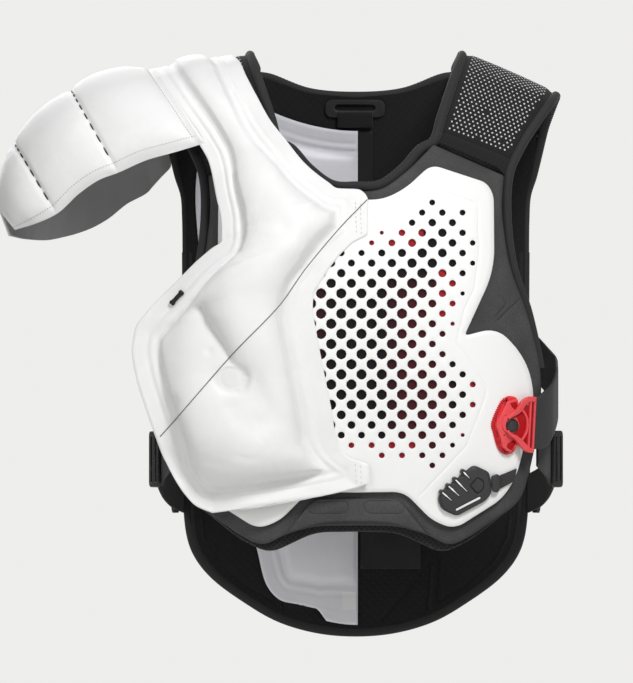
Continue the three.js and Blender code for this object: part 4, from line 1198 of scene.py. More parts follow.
def woven(name, colour, across, along, rough, contrast, depth=0.5):
    # Plain woven polyester: threads over and under each other, spacing in millimetres
    look = Look(name, colour, rough, Specular_IOR_Level=0.35, Sheen_Weight=0.1)
    place = look.cloth_place()
    parts = look.parts(place)
    waves = []
    for k, pitch in enumerate((across, along)):
        waves.append(look.math("SINE", look.times(parts[k], 2000 * math.pi / pitch)))
    share = look.ranged(look.times(*waves), -1.0, 1.0)
    blend = look.times(share, look.noise(place, 16, 3.0))
    base = look.mixed(blend, scaled(look.colour, contrast), scaled(look.colour, 1.12))
    return look.finished(depth, 0.00025, share, Base_Color=base)


def coated_cloth(name, colour):
    # Coated polyester airbag cloth: white film over a fine weave, soft gloss, faint crinkles whose hollows
    # are a little darker by painted shade
    look = Look(
        name, colour, 0.5, Specular_IOR_Level=0.4, Sheen_Weight=0.08, Coat_Weight=0.08, Coat_Roughness=0.35)
    crinkle = look.noise(look.place(), 26, 4.0, Roughness=0.55, Distortion=0.6)
    weave = look.noise(look.place("UV"), 1.2, 1.0)
    height = look.math("ADD", crinkle, look.times(weave, 0.12))
    base = look.mixed(look.ranged(crinkle, 0.35, 0.7), scaled(look.colour, 0.965), look.colour)
    return look.finished(0.28, 0.0016, height, Base_Color=base)


def hard_plastic(name, colour, rough, grain=0.7, depth=0.3, gloss=0.5, pale=0.0):
    # Moulded plastic: fine spark-eroded grain, smoother where it is touched
    look = Look(name, colour, rough, pale, Specular_IOR_Level=gloss)
    place = look.place()
    cloud = look.noise(place, 9)
    base = look.mixed(look.ranged(cloud, 0.3, 0.75), scaled(look.colour, 0.93), scaled(look.colour, 1.06))
    spread = look.ranged(cloud, 0.3, 0.7, rough - 0.06, rough + 0.08)
    return look.finished(depth, 0.00012, look.noise(place, grain), Base_Color=base, Roughness=spread)


def backing_cloth(name, colour):
    # Open knit over red cloth: black in the middle, maroon to the sides, bare red along the rim of the field
    look = Look(name, colour, 0.85, Specular_IOR_Level=0.25)
    place = look.place()
    parts = look.parts(place)
    side, up = look.math("ABSOLUTE", parts[0]), parts[2]
    knit = put(look.tree, "ShaderNodeTexChecker", {"Vector": place, "Scale": 1000 / 1.1}).outputs["Fac"]
    threads = look.ranged(knit, 0.0, 1.0, 0.55, 1.0)
    field = look.times(look.ranged(side, 0.022, 0.042), look.ranged(side, 0.078, 0.084, 1.0, 0.15))
    field = look.times(field, look.ranged(up, -0.172, -0.2))
    base = look.mixed(look.times(field, threads), tint("#151214"), tint("#4E171E"))
    bare = None
    for x0, x1, z0, z1 in RED_ZONES:
        share = None
        for value, edge, far in ((side, x0, x0 - 2), (side, x1, x1 + 2), (up, z0, z0 - 2), (up, z1, z1 + 2)):
            step = look.ranged(value, far / 1000, edge / 1000)
            share = step if share is None else look.times(share, step)
        bare = share if bare is None else look.math("MAXIMUM", bare, share)
    base = look.mixed(look.times(bare, threads), base, tint("#B2222E"))
    return look.finished(0.5, 0.0004, knit, Base_Color=base)


# How each finish is made, its name, its colour as a code or an input's name, and the maker's own values
LOOKS = {
    "plate": (moulded_plate, "moulded_polypropylene_white", "plate"),
    "foam": (moulded_foam, "moulded_eva_foam_charcoal", "foam"),
    "backing": (backing_cloth, "open_knit_over_red_cloth", "#1A1214"),
    "liner": (knitted_mesh, "knitted_mesh_charcoal", "#2C2C2E", 3.4, "#0C0C0D", 0.7),
    "back": (knitted_mesh, "spacer_mesh_black", "cloth", 5.2, "#1F1F21", 0.35),
    "strap": (knitted_mesh, "strap_mesh_black", "#202022", 2.6, "#111112", 0.5),
    "edging": (woven, "woven_elastic_tape_charcoal", "edging", 1.5, 1.5, 0.8, 0.7),
    "bag": (coated_cloth, "coated_airbag_cloth_white", "bag"),
    "bag_inside": (coated_cloth, "coated_airbag_cloth_pale", "bag_inside"),
    "lining": (woven, "woven_polyester_lining_grey", "lining", 1.6, 1.6, 0.78, 0.86, 0.35),
    "webbing": (woven, "woven_webbing_charcoal", "webbing", 3.0, 1.8, 0.72, 0.72, 0.8),
    "webbing_black": (woven, "woven_webbing_black", "#1A1A1B", 3.0, 1.8, 0.72, 0.7, 0.8),
    "label": (woven, "satin_label_black", "#242426", 1.3, 2.6, 0.5, 0.85, 0.3),
    "label_white": (woven, "satin_label_white", "#F1F1F1", 1.3, 1.3, 0.6, 0.96, 0.2),
    # Three copies of the closure's red: its own red, a lighter copy that is painted highlight on the raised
    # faces, and a darker copy that is painted shade on the pockets, pins and low yoke plate
    "closure": (hard_plastic, "moulded_abs_red", "closure", 0.4, 0.6, 0.15, 0.35),
    "closure_painted_highlight": (hard_plastic, "moulded_abs_light_red", "closure", 0.36, 0.6, 0.12, 0.4, 0.06),
    "closure_painted_shade": (hard_plastic, "moulded_abs_deep_red", "#AC0812", 0.5, 0.6, 0.2, 0.2),
    "black": (hard_plastic, "moulded_nylon_black", "#343436", 0.42),
    "black_gloss": (hard_plastic, "moulded_nylon_black_smooth", "#202022", 0.28, 0.9, 0.12, 0.6),
    # recess is near-black: the pull toggle's own black, and painted shade in the status unit's grooves
    "recess": (hard_plastic, "moulded_nylon_shadow_gap", "#0D0D0E", 0.6),
    "guide": (hard_plastic, "moulded_acrylic_white", "#F2F2F3", 0.2, 0.9, 0.05, 0.6),
    "eyelet": (hard_plastic, "pale_knit_eyelets", "#D6D6D8", 0.7, 0.5, 0.2, 0.3),
    "thread_black": (woven, "spun_thread_black", "#141415", 0.8, 0.8, 0.75, 0.7),
    "thread_white": (woven, "spun_thread_white", "#DCDCDD", 0.8, 0.8, 0.7, 0.85),
    "thread_line": (woven, "fold_thread_grey", "#77777A", 0.8, 0.8, 0.7, 0.85),
}
FINISHES = {}


def finish(key):
    """The named finish, made when it is first asked for."""
    if key not in FINISHES:
        maker, *values = LOOKS[key]
        FINISHES[key] = maker(*values)
    return FINISHES[key]


# Frames of the closure and the status unit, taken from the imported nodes

def seated_plane(node, x, z, leaning, turn):
    """Plane on the plate below a node, at the height where the node's own back lies."""
    x, z, height = np.array([[x], [z], [PLATE_FAR]], float)
    u, v = FRONT.foot(x, z, height)
    place = FRONT.at(u, v, height)[0]
    facing = FRONT.normal(u, z)[0]
    if not leaning:
        facing[2] = 0
    facing = unit(facing)
    corners = corners_of(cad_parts[node].data)
    place = place + facing * ((corners - place) @ facing).min()
    return plane_at(place, facing, turn)


def layer(name, node, look, slot, *shape, **more):
    """A panel of the vest as a finished piece."""
    return piece(name, panel(name, *shape, **more), [look], node, slot)


def pad(name, node, look, slot, upper, lower, grid):
    """A layer between two grids as a finished piece, its cloth measured along the third."""
    return piece(name, slab(name, upper, lower, grid_uv(grid)), [look], node, slot)


PLATE_EDGE = rounded(mirrored(PLATE_OUTLINE), 1.6)


def plate_rim(flat, d):
    """Fall of the plate towards its rim; the holes have none."""
    return -0.9 * (1 - smooth(away(flat, PLATE_EDGE, True), 0.2, 3.6))


def plate_holes(field, largest):
    """Holes in staggered rows that shrink towards the rim of their field."""
    spots = np.array([
        (HOLE_LEFT + (c + (r % 2) / 2) * 2 * HALF_PITCH, HOLE_TOP - r * HALF_PITCH)
        for r in range(HOLE_ROWS) for c in range(HOLE_COLUMNS)])
    spots = spots[inside(spots, field)]
    margin = away(spots, field, True)
    radius = np.minimum(np.minimum(1.5 + 0.26 * margin, 2.3 + 0.05 * margin), largest)
    return [(x, z, r) for (x, z), r in zip(spots, radius)]


class VEST_OT_front(bpy.types.Operator):
    """Liner, foam panel, backing, pierced plate and hem trim of the front"""

    bl_idname = "vest.front"
    bl_label = "Front panel and plate"

    def execute(self, context):
        sizes = context.scene.vest_sizes
        obj = layer(
            "front_liner_cloth", "front_liner", "liner", "cloth_black", rounded(mirrored(LINER_OUTLINE)),
            0, LINER_THICK, FRONT, 4.0, 2.0)
        lines = FOAM_LINES + [flipped(line) for line in FOAM_LINES]
        obj = layer(
            "front_foam", "front_panel", "foam", "foam_grey", rounded(mirrored(PANEL_OUTLINE)),
            FOAM_NEAR, FOAM_FAR, FRONT, 3.4, 3.0, lines=[(line, *FOAM_GROOVE) for line in lines],
            relief=lambda flat, d: 0.9 * smooth(d, 4, 26) - 0.9, rings=(0.5, 1.2, 2.2, 3.4))
        field = rounded(mirrored(HOLE_FIELD))
        obj = layer(
            "plate_backing_knit", "plate_backing", "backing", "backing_red", field,
            BACKING_NEAR, BACKING_FAR, FRONT, 4.0, 0.6, rings=(1.0,))
        layer(
            "chest_plate_shell", "chest_plate", "plate", "plate_white", PLATE_EDGE,
            PLATE_NEAR, PLATE_FAR, FRONT, 3.6, 0.7, rounds=plate_holes(field, sizes.hole * 1000),
            lines=[(line, *PLATE_GROOVE) for line in (PLATE_LINE, flipped(PLATE_LINE))],
            rings=(0.3, 0.7, 1.6, 2.8, 3.4, 4.2), relief=plate_rim)
        recess = capsule(12.5, -380, 37, -380.5, 5.6)
        ridge = np.vstack([recess, recess[:1]])
        layer(
            "hem_trim_moulding", "hem_trim", "foam", "foam_grey", rounded(mirrored(TRIM_OUTLINE), 1.5),
            BACKING_NEAR, BACKING_NEAR + 4, FRONT, 2.4, 1.6,
            lines=[(line, *TRIM_GROOVE) for line in (ridge, flipped(ridge))])
        return {"FINISHED"}


class VEST_OT_back(bpy.types.Operator):
    """Padded back with its seams, hanger, and blank labels"""

    bl_idname = "vest.back"
    bl_label = "Back panel"

    def execute(self, context):
        seams = BACK_SEAMS + [flipped(line) for line in BACK_SEAMS]

        def inner(flat, d):
            low = np.zeros(len(flat))
            for line in seams:
                low += 1.6 * np.exp(-(away(flat, spaced(line, 1.6)) / 1.3) ** 2)
            pad = smooth(d, 6, 30) * -0.8
            fold = 1.4 * np.exp(-(away(flat, BACK_FOLD) / 2.6) ** 2)
            return low + pad - fold

        def crinkled(flat, d):
            return 0.15 * ripples(np.stack([flat[:, 0], 0 * flat[:, 0], flat[:, 1]], axis=1), 24, 4)

        def box(x0, z0, x1, z1, radius, step):
            return rounded([(x0, z0, radius), (x1, z0, radius), (x1, z1, radius), (x0, z1, radius)], step)

        obj = layer(
            "back_pad", "back_panel", "back", "cloth_black", rounded(mirrored(BACK_OUTLINE)),
            0, BACK_THICK, BACK, 4.2, 3.0, near_relief=inner,
            lines=[(line, 1.3, 0.0) for line in seams], rings=(0.6, 1.6, 3.0))
        layer(
            "hanger_plate", "hanger_patch", "black", "hard_black", box(-27, -36, 26, -20.5, 7, 1.0),
            -0.9, -3.0, BACK, 2.0, 0.9, cuts=[capsule(-16, -27.5, 15, -27.5, 2.6)], rings=(0.4, 0.9))
        layer(
            "hanger_tape", "hanger_loop", "webbing_black", "cloth_black", box(-16, -45, 15, -31.5, 0.6, 1.0),
            -3.4, -5.8, BACK, 2.0, 1.1, rings=(0.4, 1.0))
        for name, node, x0, z0, x1, z1 in BACK_LABELS:
            obj = layer(
                name, node, "label", "cloth_black", box(x0, z0, x1, z1, 0.8, 1.2),
                -0.9, -1.9, BACK, 3.0, 0.5, rings=(0.5,), relief=crinkled)
        return {"FINISHED"}


def strap_grid(sign):
    """Lower face of a shoulder strap and the direction away from the shoulder."""
    rows = []
    for row in STRAP_STATIONS:
        neck, arm = np.array(row[:3], float), np.array(row[3:], float)
        rows.append(neck + (arm - neck) * np.linspace(0, 1, 9)[:, None])
    rows = np.array(rows)
    rows[..., 0] *= sign
    grid, _ = finer(row_places(rows), rows, 2.6, 29)
    return grid, grid_normals(grid, np.array([120.0 * sign, 0, -110]))


def edge_of_strap(here):
    """Path along the neck side, 0, or the arm side, -1, of the right strap, a little outside."""
    grid, up = strap_grid(1)
    line = grid[:, here] + up[:, here] * STRAP_THICK / 2
    path = line + unit(grid[:, here] - grid[:, -1 - here]) * 2.5
    return path[np.linspace(0, len(path) - 1, 8).astype(int)]


class VEST_OT_straps(bpy.types.Operator):
    """Padded shoulder straps with their eyelet mesh"""

    bl_idname = "vest.straps"
    bl_label = "Shoulder straps"

    def execute(self, context):
        pitch = context.scene.vest_sizes.dot_pitch * 1000
        for name, sign in SIDES:
            grid, up = strap_grid(sign)
            share = np.linspace(0, 1, grid.shape[1])[None, :]
            width = norm(grid[:, -1] - grid[:, 0], axis=1)[:, None]
            margin = np.minimum(share, 1 - share) * width
            crown = STRAP_THICK - 2.4 * (1 - smooth(margin, 0, 9)) + 0.5 * smooth(margin, 6, 34)
            along = grid_uv(grid)[..., 1] * 1000
            crown = crown - 1.3 * np.exp(-((along - 12.5) / 1.2) ** 2)
            reach = smooth(share[0], 0.8, 1)[:, None]
            for end, beside, far in ((0, 1, STRAP_REACH[0]), (-1, -2, STRAP_REACH[1])):
                grid[end] += far * reach * unit(grid[end] - grid[beside])
            upper = grid + up * crown[..., None]
            obj = pad(
                f"shoulder_pad_{name}", f"shoulder_strap_{name}", "strap", "strap_mesh", upper, grid, grid)
            top = grid + up * (crown + 0.1)[..., None]
            spots, facing = [], []
            length = along[-1, 0]
            chance = np.random.default_rng(7)
            for j, s in enumerate(np.arange(17.0, length - 6, pitch * 0.76)):
                row = np.interp(s, along[:, 0], np.arange(len(grid)))
                i = min(int(row), len(grid) - 2)
                line = top[i] * (1 - row + i) + top[i + 1] * (row - i)
                wide = width[i, 0]
                for across in np.arange(7.0 + (j % 2) * pitch / 2, wide - 6.5, pitch):
                    if chance.random() < 0.01:
                        continue
                    at = across / wide * (len(line) - 1)
                    k = min(int(at), len(line) - 2)
                    spots.append(line[k] * (1 - at + k) + line[k + 1] * (at - k))
                    facing.append(up[i, k])
            dotted(f"strap_eyelets_{name}", spots, facing)
        return {"FINISHED"}


def amid(skin, line, thick):
    """Points of an edge in the middle of its layer."""
    return skin.over(*np.array(line, float).T, thick / 2)


class VEST_OT_edging(bpy.types.Operator):
    """Edge tape round neck, arms and back, with its stitching"""

    bl_idname = "vest.edging"
    bl_label = "Edging"

    def execute(self, context):
        section = eased_section(BINDING_RADIUS, BINDING_RADIUS, 4, 2.2)
        front_mid = FRONT.at(*np.array(FRONT_NECK, float).T, np.full(len(FRONT_NECK), FOAM_FAR / 2))
        half = np.vstack([front_mid, edge_of_strap(0), amid(BACK, BACK_NECK, BACK_THICK)])
        loop = curve_through(np.vstack([half, half[1:-1][::-1] * [-1, 1, 1]]), 3.0, closed=True)
        centre = np.array([0, 0, -60.0])
        self.tape("neck_tape", "neck_binding", loop, centre, section, True)
        runs = [self.beside(loop, centre, 1.0)]
        for name, sign in SIDES:
            arm = np.vstack([
                amid(FRONT, FRONT_ARM, FOAM_FAR), edge_of_strap(-1), amid(BACK, BACK_ARM, BACK_THICK)])
            path = curve_through(arm * [sign, 1, 1], 3.0)
            centre = np.array([90.0 * sign, 0, -180])
            self.tape(f"arm_tape_{name}", f"arm_binding_{name}", path, centre, section)
            runs.append(self.beside(path, centre, -1.0))
        back = amid(BACK, BACK_EDGE, BACK_THICK)
        path = curve_through(np.vstack([back, back[:-1][::-1] * [-1, 1, 1]]), 3.0)
        wide = eased_section(BINDING_RADIUS + 0.6, BINDING_RADIUS + 0.6, 4, 2.2)
        centre = np.array([0, 60.0, -260])
        self.tape("back_tape", "back_binding", path, centre, wide)
        runs.append(path + unit(centre - path) * 3.1 + np.array([0, -3.6, 0]))
        runs = [spaced(run, 2.0) for run in runs]
        stitched("edge_stitches", runs, context.scene.vest_sizes.stitch * 1000)
        return {"FINISHED"}

    @staticmethod
    def tape(name, node, path, centre, section, closed=False):
        piece(name, swept(name, path, path - centre, section, closed), ["edging"], node, "cloth_edge")

    @staticmethod
    def beside(path, centre, side):
        """Line on the tape's face, away from its rolled edge."""
        across = unit(np.cross(np.gradient(path, axis=0), path - centre) * side)
        turned = np.where(across[:, 1:2] > 0, -across, across)
        return path + turned * (BINDING_RADIUS + 0.05)


def lobe_shares(body):
    """Shares across a row of the lobe, with its last columns kept for the rim and the tabs."""
    return np.concatenate([np.linspace(0, body, 27), np.linspace(body, 1, 7)[1:]])


def chest_lobe_grid():
    """Seat of the chest lobe, from behind the shoulder down to the waist."""
    rows = []
    for row in LOBE_SHOULDER:
        left, right = np.array(row[:3], float), np.array(row[3:], float)
        shares = lobe_shares(1 - RIM_WIDTH / norm(right - left))
        rows.append(left + (right - left) * shares[:, None])
    for left_x, left_z, right_x, right_z in LOBE_CHEST:
        shares = lobe_shares((min(right_x - RIM_WIDTH, TAB_FOOT - 21) - left_x) / (right_x - left_x))
        x = left_x + (right_x - left_x) * shares
        z = left_z + (right_z - left_z) * shares
        seat = BAG_SEAT + BAG_STANDOFF * smooth(np.abs(x), 40, 105)
        rows.append(FRONT.over(x, z, seat + BAG_FLARE * np.maximum(0, -x - 105) ** 2))
    rows = np.array(rows)
    return finer(row_places(rows), rows, 1.75, 105)[0]


def outline_of(grid):
    return np.vstack([grid[0], grid[1:, -1], grid[-1, -2::-1], grid[-2:0:-1, 0]])


LOBES = {}


class VEST_OT_airbag(bpy.types.Operator):
    """Filled chest lobe and back lobe of the airbag, with welds, tabs and fold thread"""

    bl_idname = "vest.airbag"
    bl_label = "Airbag lobes"

    def execute(self, context):
        sizes = context.scene.vest_sizes
        flange, plump = sizes.flange * 1000, sizes.plump * 1000
        self.chest_lobe(flange, plump)
        self.back_lobe(plump)
        self.trimmings()
        return {"FINISHED"}

    def chest_lobe(self, flange, plump):
        grid = chest_lobe_grid()
        up = grid_normals(grid, np.array([-120.0, 0, -130]))
        edge = spaced(outline_of(grid), 2.5, True)
        rim = grid_away(grid, edge)
        d = grid_away(grid, np.minimum(edge, [TAB_FOOT, 1e9, 1e9]))
        x, z = grid[..., 0], grid[..., 2]
        d = np.where(x > TAB_FOOT, 0, d)
        # Flat flange and weld band, both wider beside the filled chest
        wider = smooth(-z, 160, 215) * (1 - smooth(-z, 315, 350))
        band = WELD_BAND + BAND_GAIN * wider
        flange = flange + FLANGE_GAIN * wider
        held = d < flange + band
        rise = membrane(grid, held, np.zeros(d.shape))
        # Crease and welded disc, pressed in on the chest only
        spots = np.stack([x, z], axis=-1).reshape(-1, 2)
        on_chest = grid[..., 1] < -60
        crease = spaced(LOBE_CREASE, 2.0)
        off = away(spots, crease).reshape(d.shape)
        reach = np.array([np.argmin(norm(crease - s, axis=1)) for s in spots]).reshape(d.shape)
        along = reach / (len(crease) - 1)
        far = np.hypot(x - WELD_DISC[0], z - WELD_DISC[1])
        disc = on_chest & (far < DISC_RADIUS)
        pressed = on_chest & (off < 1.5) & (far > DISC_RADIUS + 1.5) & (along < 0.85) & ~held | disc
        depth = np.where(disc, DISC_HEIGHT, np.interp(along, *CREASE_HEIGHTS))
        full = rise.max()
        # Less full outside the crease, fuller at the waist, in the middle and down the column's right side
        beside = np.where(inside(spots, np.vstack([crease, LOBE_CORNER])).reshape(d.shape), -off, off)
        outer = on_chest * (1 - smooth(beside, -5, 5))
        low = smooth(-z, 270, 330)
        column = on_chest * (1 - smooth(-z, 150, 195))
        fuller = (1 - outer) * np.exp(-((z + 248) / 50) ** 2)
        pressure = 1 - 0.75 * outer * (1 - low) + on_chest * (1.1 * low + 1.5 * fuller)
        pressure += column * (1.6 * np.linspace(0, 1, x.shape[1]) - 0.6)
        level = np.where(pressed, full * (depth / plump) ** (1 / FILL), 0)
        rise = membrane(grid, held | pressed, level, pressure)
        # The crease runs out softly below the disc
        soft = on_chest * smooth(along, 0.5, 0.65) * (1 - smooth(along, 0.8, 1)) * smooth(off, 22, 6)
        soft *= smooth(far, DISC_RADIUS, DISC_RADIUS + 8)
        rise = rise + (relaxed(rise, 160) - rise) * soft
        # Flatter over the shoulder, with the disc's rings, dents, and puckers along the weld
        worn = 0.6 + 0.4 * smooth(-grid[..., 1], -10, 80)
        height = weld_profile(d, flange, band) * smooth(rim, -0.6, 1.2)
        risen = smooth(d, flange + band - 1, flange + band + 6)
        height += plump * worn * risen * np.maximum(rise / full, 0) ** FILL
        for lift, radius, wide in DISC_RINGS:
            height += on_chest * lift * np.exp(-((far - radius) / wide) ** 2)
        for dent_x, dent_z, wide, deep in LOBE_DENTS:
            height -= on_chest * deep * np.exp(-((x - dent_x) ** 2 + (z - dent_z) ** 2) / wide ** 2)
        pucker = ripples(grid, 9, 3) * np.exp(-((d - flange - band - 2) / 6) ** 2) * 0.22
        height += pucker + 0.35 * ripples(grid, 46, 5) * smooth(d, flange + band, flange + band + 20)
        # The free rim curls forwards at the waist and at the side
        curl = 7 * smooth(-z, 330, 365) + 4 * smooth(-x, 140, 185) * smooth(-z, 170, 215)
        curl *= np.clip(1 - d / (flange + band), 0, 1) ** 1.2
        under = grid - curl[..., None] * np.array([0, 1, 0])
        upper = under + up * np.maximum(height, 0.5)[..., None]
        obj = pad("airbag_chest_lobe", "airbag_front", "bag", "bag_white", upper, under, grid)
        LOBES["chest"] = surface_of(obj.data)

    def back_lobe(self, plump):
        shares = np.linspace(0, 1, 33)
        rows = []
        for z0, left, z1 in BACK_LOBE:
            x = left + (CUT_LINE - left) * shares
            z = z0 + (z1 - z0) * (1 - (1 - shares) ** 2)
            rows.append(BACK.over(x, z, -2.3))
        rows = np.array(rows)
        grid, _ = finer(row_places(rows), rows, 3.0, 61)
        toward = grid_normals(grid, np.array([-60.0, 600, -250]))
        d = grid_away(grid, spaced(outline_of(grid), 2.5, True))
        right = CUT_LINE - grid[..., 0]
        border = np.vstack([grid[0], grid[:, 0], np.maximum(grid[-1], [-1e9, -1e9, BACK_HEM])])
        left = grid_away(grid, spaced(border, 2.5), False)
        left = np.where(grid[..., 2] < BACK_HEM, 0, left)
        rise = membrane(grid, (left < BACK_FLANGE + BACK_BAND) | (right < 2.5), np.zeros(d.shape))
        height = weld_profile(left, BACK_FLANGE, BACK_BAND) * smooth(d, -0.4, 1.2)
        height += 0.4 * plump * smooth(left, 20, 27) * np.sqrt(np.maximum(rise / rise.max(), 0))
        height += 0.25 * ripples(grid, 40, 8) * smooth(d, 8, 24)
        upper = grid + toward * np.maximum(height, 0.6)[..., None]
        obj = pad("airbag_back_lobe", "airbag_back", "bag_inside", "bag_white", upper, grid, grid)
        LOBES["back"] = surface_of(obj.data)

    def trimmings(self):
        drop = LOBES["chest"]
        line, facing = drop(curve_through(FOLD_THREAD, 2.0), 0.15)
        mesh = swept("fold_thread", line, facing, eased_section(0.5, 0.4, 2, 2))
        piece("fold_thread", mesh, ["thread_line"])
        runs = []
        for top, low in ((-113, -138), (-343, -357)):
            for x in (-0.6, 3.8):
                runs.append(drop(spaced([(x, top - 0.3 * x), (x + 0.8, low - 0.3 * x)], 1.0), 0.2)[0])
        stitched("tab_stitches", runs)
        ends, facing = drop([(-152, -190.5), (-157, -196), (-162, -201.5)], 1.5)
        path = curve_through(ends, 1.0)
        ups = np.tile(facing.mean(0), (len(path), 1))
        toggle = swept("pull_toggle", path, ups, eased_section(1.9, 1.6, 3, 2.2))
        share = np.linspace(-1, 1, len(path))
        grow = 1 + 0.45 * np.exp(-((np.abs(share) - 0.8) / 0.16) ** 2)
        middle = path[:, None]
        bulge = middle + (corners_of(toggle).reshape(len(path), -1, 3) - middle) * grow[:, None, None]
        toggle.vertices.foreach_set("co", bulge.ravel() / 1000)
        toggle.update()
        piece("pull_toggle", toggle, ["recess"], "airbag_toggle", "hard_black")
        x, z = np.meshgrid(np.linspace(-12, 0, 9), np.linspace(-456, -472, 11))
        under, facing = LOBES["back"](np.stack([x.ravel(), z.ravel()], axis=1), 0.25)
        under, facing = (each.reshape(*x.shape, 3) for each in (under, facing))
        upper = under + facing * 0.5
        obj = pad("lobe_label", "airbag_label", "label_white", "label_white", upper, under, under)


class VEST_OT_cap(bpy.types.Operator):
    """Padded shoulder cap of the airbag with its lining and stitched channels"""

    bl_idname = "vest.cap"
    bl_label = "Shoulder cap"

    def execute(self, context):
        plump = context.scene.vest_sizes.plump * 1000
        shares = np.linspace(0, 1, 41)
        turn = np.pi * shares
        rows = []
        for row in CAP_SECTIONS:
            hem, crest, back = (np.array(row[k:k + 3], float) for k in (0, 3, 6))
            foot = np.where(shares[:, None] < 0.5, hem, back)
            flat, up = np.abs(np.cos(turn)), np.sin(turn)
            rows.append(np.stack([
                crest[0] + (foot[:, 0] - crest[0]) * (1 - up), crest[1] + (foot[:, 1] - crest[1]) * flat,
                foot[:, 2] + (crest[2] - foot[:, 2]) * up], axis=1))
        rows = np.array(rows)
        middle = np.array([-215.0, 2, -140])
        lap = rows[0] - rows[1]
        lap = rows[0] + CAP_LAP * lap / norm(lap, axis=1, keepdims=True)
        rows = np.concatenate([[lap + 2.2 * grid_normals(rows, middle)[0]], rows])
        places = row_places(rows)
        grid, wanted = finer(places, rows, 1.7, CAP_COLUMNS)
        rear = smooth(np.linspace(0, 1, CAP_COLUMNS), 0.72, 0.95)
        grid[..., 0] += CAP_REACH * rear * (1 - smooth(wanted, 0, 26))[:, None]
        up = grid_normals(grid, middle)
        d = grid_away(grid, spaced(outline_of(grid), 2.5, True))
        seams = np.min([np.abs(wanted - places[k]) for k in CAP_SEAMS], axis=0)[:, None] + 0 * d
        held = (d < 5) | (seams < 2.6)
        rise = membrane(grid, held, np.zeros(d.shape))
        stitch = np.min([np.abs(wanted - places[k]) for k in CAP_SEAMS[1:3]], axis=0)[:, None] + 0 * d
        height = 2.0 * smooth(d, -0.6, 1.4) + 0.0073 * plump * np.sqrt(np.maximum(rise, 0))
        height -= 0.7 * np.exp(-(stitch / 1.0) ** 2)
        height += 0.2 * ripples(grid, 10, 6) * np.exp(-((seams - 6) / 5) ** 2) + 0.3 * ripples(grid, 40, 2)
        height = np.maximum(height, 0.7)
        upper = grid + up * height[..., None]
        obj = pad("airbag_shoulder_cap", "airbag_shoulder", "bag", "bag_white", upper, grid, grid)
        inner = grid - up * 0.3
        obj = pad(
            "cap_lining", "shoulder_lining", "lining", "lining_grey", inner, inner - up * 1.4, grid)
        raised = upper + up * 0.25
        runs = []
        for k in CAP_SEAMS[1:3]:
            i = int(np.argmin(np.abs(wanted - places[k])))
            runs.append(spaced(raised[i, 7:43], 1.5))
        stitched("cap_dashes", runs)
        join = int(np.argmin(np.abs(wanted - places[1])))
        runs = [spaced(line, 1.5) for line in (raised[3:-2, 3], raised[3:-2, -4], raised[join, 3:-3])]
        stitched("cap_hem_stitches", runs)
        return {"FINISHED"}


class VEST_OT_closure(bpy.types.Operator):
    """Red side closure with its knob, yoke and centre cap"""

    bl_idname = "vest.closure"
    bl_label = "Closure"

    def execute(self, context):
        to_frame, seen = seated_plane(*KNOB_SEAT)
        # light is the red with painted highlight, for the raised face, ring, arms and ribs; deep is the red
        # with painted shade, for the pockets, pins and the low yoke plate
        light, red, deep = "closure_painted_highlight", "closure", "closure_painted_shade"
        parts = Mouldings(to_frame)
        grip = spaced(curve_through(seen(KNOB_GRIP, GRIP_TOP), 0.5, True), 0.5, True)
        teeth = 0.45 * np.sin(np.arange(len(grip)) * np.pi / 2) * (grip[:, 0] < -2)
        side = -leftward(unit(np.roll(grip, -1, axis=0) - np.roll(grip, 1, axis=0)))
        parts.add(grip + side * teeth[:, None], 0.2, GRIP_TOP, 0.3, red, 2, 1.7)
        parts.add(spaced(seen(KNOB_FACE, FACE_TOP), 0.8, True), 3.8, FACE_TOP, 0.8, light, 2)
        for pocket in KNOB_POCKETS:
            parts.add(spaced(seen(pocket, FACE_TOP), 0.7, True), 5.0, FACE_TOP + 0.12, 0.05, deep, 2)
        for centre in seen(KNOB_PINS, FACE_TOP):
            parts.add(ring(*centre, 0.8, 12), 5.2, FACE_TOP + 0.1, 0.04, deep, 2)
        parts.add(ring(0, 0, 8.6, 32), 5.8, 7.4, 0.5, light, 2)
        parts.done("closure_knob", "buckle_knob", "closure_red")
        parts.add(spaced(seen(YOKE_PLATE, PLATE_TOP), 0.8, True), 6.2, PLATE_TOP, 0.3, deep, 2)
        for high, ribbons in ((ARM_TOP, YOKE_ARMS), (RIB_TOP, YOKE_RIBS)):
            for rows in ribbons:
                rows = np.array(rows)
                path = np.c_[seen(rows[:, :2], high), rows[:, 2]]
                path = spaced(curve_through(path, 0.8), 0.8)
                cross = leftward(unit(np.gradient(path[:, :2], axis=0))) * path[:, 2:]
                edge = np.vstack([path[:, :2] + cross, (path[:, :2] - cross)[::-1]])
                parts.add(edge, 6.3, high, 0.6, light, 2)
        parts.done("closure_yoke", "buckle_frame", "closure_red")
        centre = seen([CLOSURE_CENTRE], CAP_TOP)[0]
        parts.add(ring(*centre, 5.9, 36), 7.2, 10.0, 0.9, "black_gloss", 2)
        parts.add(ring(*centre, 4.1, 30), 9.8, 10.5, 0.4, "black", 2)
        parts.done("closure_cap", "buckle_cap", "hard_black")
        softened("buckle_left", "closure_block_left", 1.2, red, "closure_red")
        return {"FINISHED"}


